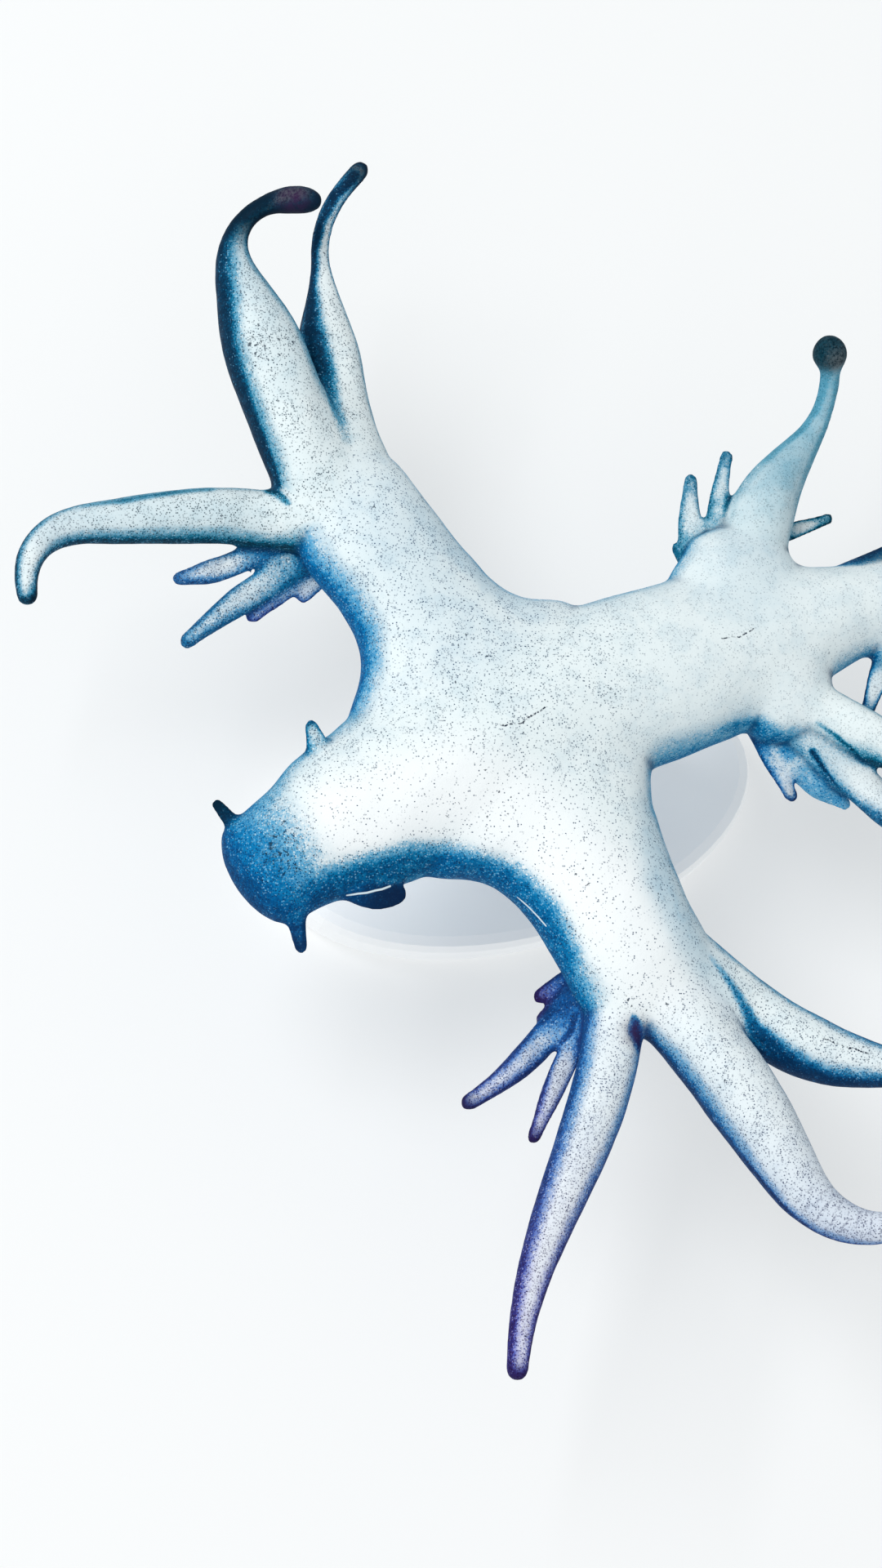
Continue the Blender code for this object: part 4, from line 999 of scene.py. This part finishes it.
def skin_material():
    n = Nodes("slug_skin")
    place = n.vector("SUBTRACT", n.in_mm(), tuple(MODEL_AT))
    margin, under, dark, teal, violet, hollow, haze, dashes, pale = [
        n.attribute(name) for name in "margin under dark teal violet hollow haze dashes pale".split()
    ]

    def toned(tones):
        return n.mix(violet, n.mix(teal, tones[0], tones[1]), tones[2])

    cloud = n.noise(place, CLOUD, 2.0)
    patch = n.noise(place, PATCH, 3.0, 0.6)
    mottle = n.noise(place, MOTTLE, 3.0, 0.6)
    grain = n.noise(place, GRAIN, 2.0, 0.7)
    distance, chance = n.cells(place, DOTS)
    dot = n.step(distance, 0.62, 0.22)
    # How blue the skin is: an uneven edge, broken up into grains.
    edge = n.step(margin, 0.0, 0.30)
    uneven = n.plus(n.centred(mottle, 0.42), n.centred(grain, 0.40))
    grains = n.times(n.centred(chance[0], GRAIN_SPREAD), dot)
    grains = n.times(grains, n.plus(1.0, n.times(violet, 0.5)))
    uneven = n.times(n.plus(uneven, grains), edge)
    blue = n.plus(margin, uneven, clamp=True)
    # Painted shade: a blue-grey tint on skin that slopes away from the top of its piece, uneven in clouds.
    # The bands of painted shade and a few random patches of tint are added, and there is less of it under the
    # painted highlight.
    soft = n.times(haze, n.step(cloud, 0.35, 0.65, 0.06, 0.16))
    soft = n.plus(soft, n.step(patch, 0.40, 0.70, 0.0, 0.06))
    soft = n.times(soft, n.less(1.0, pale))
    soft = n.plus(soft, n.attribute("soft"))
    blue = n.plus(blue, n.times(soft, n.step(blue, 0.5, 0.1)), clamp=True)
    tone = n.ramp(blue, list(zip(TONE_PLACES, BLUE_TONES)))
    colour = n.mix(teal, tone, n.ramp(blue, list(zip(TONE_PLACES, TEAL_TONES))))
    colour = n.mix(violet, colour, n.ramp(blue, list(zip(TONE_PLACES, VIOLET_TONES))))
    # The painted highlight: near-white skin along the neck and the left arm.
    colour = n.mix(n.times(n.times(pale, HIGHLIGHT_COVER), n.step(blue, 0.35, 0.05)), colour, HIGHLIGHT_WHITE)
    # Fine dark dots, in uneven patches, fewer under the painted highlight.
    density = n.plus(n.step(patch, 0.36, 0.64, 0.22, 0.44), n.step(blue, 0.05, 0.5, 0.0, 0.20))
    density = n.times(density, n.less(1.0, n.times(pale, 0.7)))
    density = n.plus(density, n.times(dashes, 0.15))
    density = n.plus(density, n.times(n.attribute("thin"), 0.22))
    density = n.plus(density, n.step(n.attribute("ceras"), 0.0, 0.15, 0.0, 0.12))
    density = n.plus(density, n.times(violet, 0.36))
    dots = n.times(dot, n.math("LESS_THAN", chance[1], density))
    dots = n.times(dots, n.step(chance[2], 0.0, 1.0, 0.35, 0.95))
    # They are fainter on the trunk and the middle right arm.
    split = n.new("ShaderNodeSeparateXYZ", {"Vector": place})
    faint = n.times(n.step(split.outputs["X"], 1.0, 5.0), n.step(split.outputs["Y"], -5.5, -2.0))
    sharp = n.less(1.0, n.times(faint, 0.55))
    dots = n.times(dots, sharp)
    colour = n.mix(dots, colour, toned(DOT_TONES))
    # A few coarser flecks, thick in some places.
    fleck = n.noise(n.vector("MULTIPLY", place, (1.0, 1.0, 0.8)), FLECKS, 2.0, 0.6)
    least = n.less(n.step(patch, 0.35, 0.65, 0.725, 0.665), n.times(dashes, 0.115))
    flecks = n.times(n.less(fleck, least), 18.0, clamp=True)
    colour = n.mix(n.times(n.times(flecks, FLECK_COVER), sharp), colour, FLECK)
    # Folds across the bent ends: grooves in the bump, with painted shade in them.
    turn = n.plus(n.times(n.attribute("ceras"), 210.0), n.times(mottle, 9.0))
    folds = n.times(n.step(n.math("SINE", turn), 0.55, 0.98), n.step(grain, 0.40, 0.60))
    folds = n.times(folds, n.attribute("folds"))
    colour = n.mix(n.times(folds, FOLD_COVER), colour, FOLD)
    # Light grains in the blue.
    distance, chance = n.cells(n.vector("ADD", place, (3.3, 1.7, 5.1)), GRAIN_CELLS)
    grains = n.times(n.step(distance, 0.46, 0.24), n.math("LESS_THAN", chance[1], 0.32))
    grains = n.times(grains, n.times(n.step(blue, 0.25, 0.55), n.step(blue, 0.94, 0.78)))
    grains = n.times(grains, n.less(1.0, dark))
    light = n.mix(violet, LIGHT_GRAIN, LIGHT_GRAIN_VIOLET)
    colour = n.mix(n.times(grains, GRAIN_COVER), colour, light)
    # The underside, the dark tips, and painted shade in the hollows between cerata.
    colour = n.mix(n.times(under, UNDER_COVER), colour, toned(UNDER_TONES))
    colour = n.mix(n.times(dark, n.step(grain, 0.30, 0.62, 1.0, 0.88)), colour, toned(TIP_TONES))
    # Plum: dark violet on the hook of a ceras, and painted shade in a notch of the left arm.
    plum = n.times(n.attribute("plum"), n.step(mottle, 0.30, 0.60, 0.35, 1.0))
    colour = n.mix(n.times(plum, PLUM_COVER), colour, PLUM)
    colour = n.mix(n.times(hollow, CREASE_SHADE_COVER), colour, toned(CREASE_SHADE_TONES))
    # Thin marks: painted shade in creases and painted highlight lines.
    wobble = n.noise(place, 3.0, output="Color")
    shift = n.scaled(n.vector("SUBTRACT", wobble, (0.5, 0.5, 0.5)), 0.22)
    # The painted crease shade lines.
    marks = n.lines(n.vector("ADD", place, shift), CREASE_SHADE_LINES, LINE_WIDTHS[0])
    colour = n.mix(n.times(marks, n.step(grain, 0.42, 0.56)), colour, CREASE_SHADE_LINE)
    # The painted highlight lines.
    marks = n.lines(place, HIGHLIGHT_LINES, LINE_WIDTHS[1])
    colour = n.mix(n.times(marks, LINE_COVER), colour, HIGHLIGHT_LINE)
    roughness = n.step(mottle, 0.25, 0.75, 0.45, 0.62)
    n.surface({"Base Color": colour, "Roughness": roughness, "Specular IOR Level": SKIN_SPECULAR})
    height = n.plus(n.times(grain, 0.6), n.times(mottle, 0.4))
    n.bump(n.less(height, n.times(folds, 0.9)), SKIN_BUMP)
    return n.material


def stand_material(name, roughness):
    """Satin white lacquer with a faint orange peel and uneven gloss, and a faint painted glow that lifts its
    shade.
    """
    n = Nodes(name)
    place = n.in_mm()
    cloud = n.noise(place, 0.35, 3.0)
    peel = n.noise(place, 2.2, 2.0)
    dust = n.noise(place, 14.0, 2.0, 0.7)
    tint = n.ramp(cloud, STAND_TONES)
    uneven = n.step(dust, 0.3, 0.7, roughness - 0.06, roughness + 0.08)
    n.surface({"Base Color": tint, "Roughness": uneven})
    # A painted glow, though the stand is no lamp.
    n.surface({"Emission Color": GLOW, "Emission Strength": STAND_GLOW})
    n.bump(peel, STAND_BUMP)
    return n.material


def turned(name, profile, centre, sides=40):
    """A round piece turned about an upright line, from a profile of radius and height."""
    points = []
    for radius, height in profile:
        for k in range(sides):
            turn = 2 * math.pi * k / sides
            points.append((centre[0] + radius * math.cos(turn), centre[1] + radius * math.sin(turn), height))
    faces = tube_faces(len(profile), sides)
    data = bpy.data.meshes.new(name)
    data.from_pydata([(x * MM, y * MM, z * MM) for x, y, z in points], [], faces)
    data.polygons.foreach_set("use_smooth", np.ones(len(faces), bool))
    data.set_sharp_from_angle(angle=math.radians(50))
    return add_object(name, data)


def build_rod(node, material):
    """A support: a shaft with a rounded foot ring and a soft flared top that holds the belly."""
    low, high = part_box(node)
    middle = (low + high) / (2 * MM)
    bottom, top = low.z / MM - ROD_SUNK, high.z / MM
    profile = [(radius, bottom + height) for radius, height in ROD_FOOT]
    profile += [(radius, top + height) for radius, height in ROD_TOP]
    rod = turned(node.replace("stand_", ""), profile, (middle.x, middle.y))
    rod.data.materials.append(material)
    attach(rod, "root")
    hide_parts(node)


def camera_axes():
    tilt, bearing = math.radians(CAMERA_TILT), math.radians(CAMERA_BEARING)
    back = Vector((math.sin(tilt) * math.cos(bearing), math.sin(tilt) * math.sin(bearing), math.cos(tilt)))
    axis = Vector((-math.sin(bearing), math.cos(bearing), 0.0))
    turn = Matrix.Rotation(tilt, 3, axis)
    return back, turn.col[0].copy(), turn.col[1].copy()


def build_camera():
    """Its middle is aimed so that the photograph's vanishing point keeps its place."""
    back, right, up = camera_axes()
    focal = CAMERA_DISTANCE * PIXELS_PER_MM
    aside = IMAGE_SIZE[0] / 2 - AXIS_PIXEL[0]
    below = IMAGE_SIZE[1] / 2 - AXIS_PIXEL[1]
    view = (-back * focal + right * aside - up * below).normalized()
    data = bpy.data.cameras.new("camera")
    data.sensor_fit = "VERTICAL"
    data.sensor_height = SENSOR_HEIGHT
    data.lens = focal / IMAGE_SIZE[1] * SENSOR_HEIGHT
    data.clip_start = 0.001
    data.clip_end = 20.0
    camera = add_object("camera", data)
    z_axis = -view
    x_axis = up.cross(z_axis).normalized()
    y_axis = z_axis.cross(x_axis)
    turn = Matrix((x_axis, y_axis, z_axis)).transposed()
    place = (Vector(MODEL_AT) + back * CAMERA_DISTANCE) * MM
    camera.matrix_world = Matrix.Translation(place) @ turn.to_4x4()
    bpy.context.scene.camera = camera


def add_light(name, bearing, height, distance, size, power, colour):
    """A soft square lamp, aimed at the animal."""
    data = bpy.data.lights.new(name, "AREA")
    data.size = size
    data.energy = power
    data.color = colour
    b, h = math.radians(bearing), math.radians(height)
    away = Vector((math.cos(b) * math.cos(h), math.sin(b) * math.cos(h), math.sin(h)))
    turn = away.to_track_quat("Z", "Y").to_matrix().to_4x4()
    add_object(name, data).matrix_world = Matrix.Translation(LAMP_AIM + away * distance) @ turn


def build_studio():
    world = bpy.data.worlds.new("studio")
    world.use_nodes = True
    background = world.node_tree.nodes["Background"]
    background.inputs["Color"].default_value, background.inputs["Strength"].default_value = WORLD
    bpy.context.scene.world = world
    for lamp in LAMPS:
        add_light(*lamp)
    n = Nodes("studio_floor")
    local = n.new("ShaderNodeTexCoord").outputs["Object"]
    cloud = n.noise(local, 9.0, 2.0)
    n.surface({"Base Color": n.ramp(cloud, FLOOR_TONES), "Roughness": 0.7, "Specular IOR Level": 0.2})
    n.surface({"Emission Color": GLOW, "Emission Strength": FLOOR_GLOW})
    data = bpy.data.meshes.new("studio_floor")
    corners = [(x * FLOOR_SIDE, y * FLOOR_SIDE, 0) for x, y in ((-1, -1), (1, -1), (1, 1), (-1, 1))]
    data.from_pydata(corners, [], [(0, 1, 2, 3)])
    data.materials.append(n.material)
    floor = add_object("studio_floor", data)
    scene = bpy.context.scene
    scene.view_settings.view_transform = "Standard"
    scene.view_settings.look = "None"
    scene.view_settings.exposure = 0.0


def main():
    skin = build_skin()
    skin.data.materials.append(skin_material())
    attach(skin, "root")
    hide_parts(*[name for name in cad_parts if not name.startswith("stand_")])
    lacquer = stand_material("stand_lacquer", STAND_ROUGHNESS)
    for name in ("stand_rod_front", "stand_rod_rear"):
        build_rod(name, lacquer)
    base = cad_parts["stand_base"]
    base.data.materials.clear()
    base.data.materials.append(lacquer)
    build_camera()
    build_studio()


main()
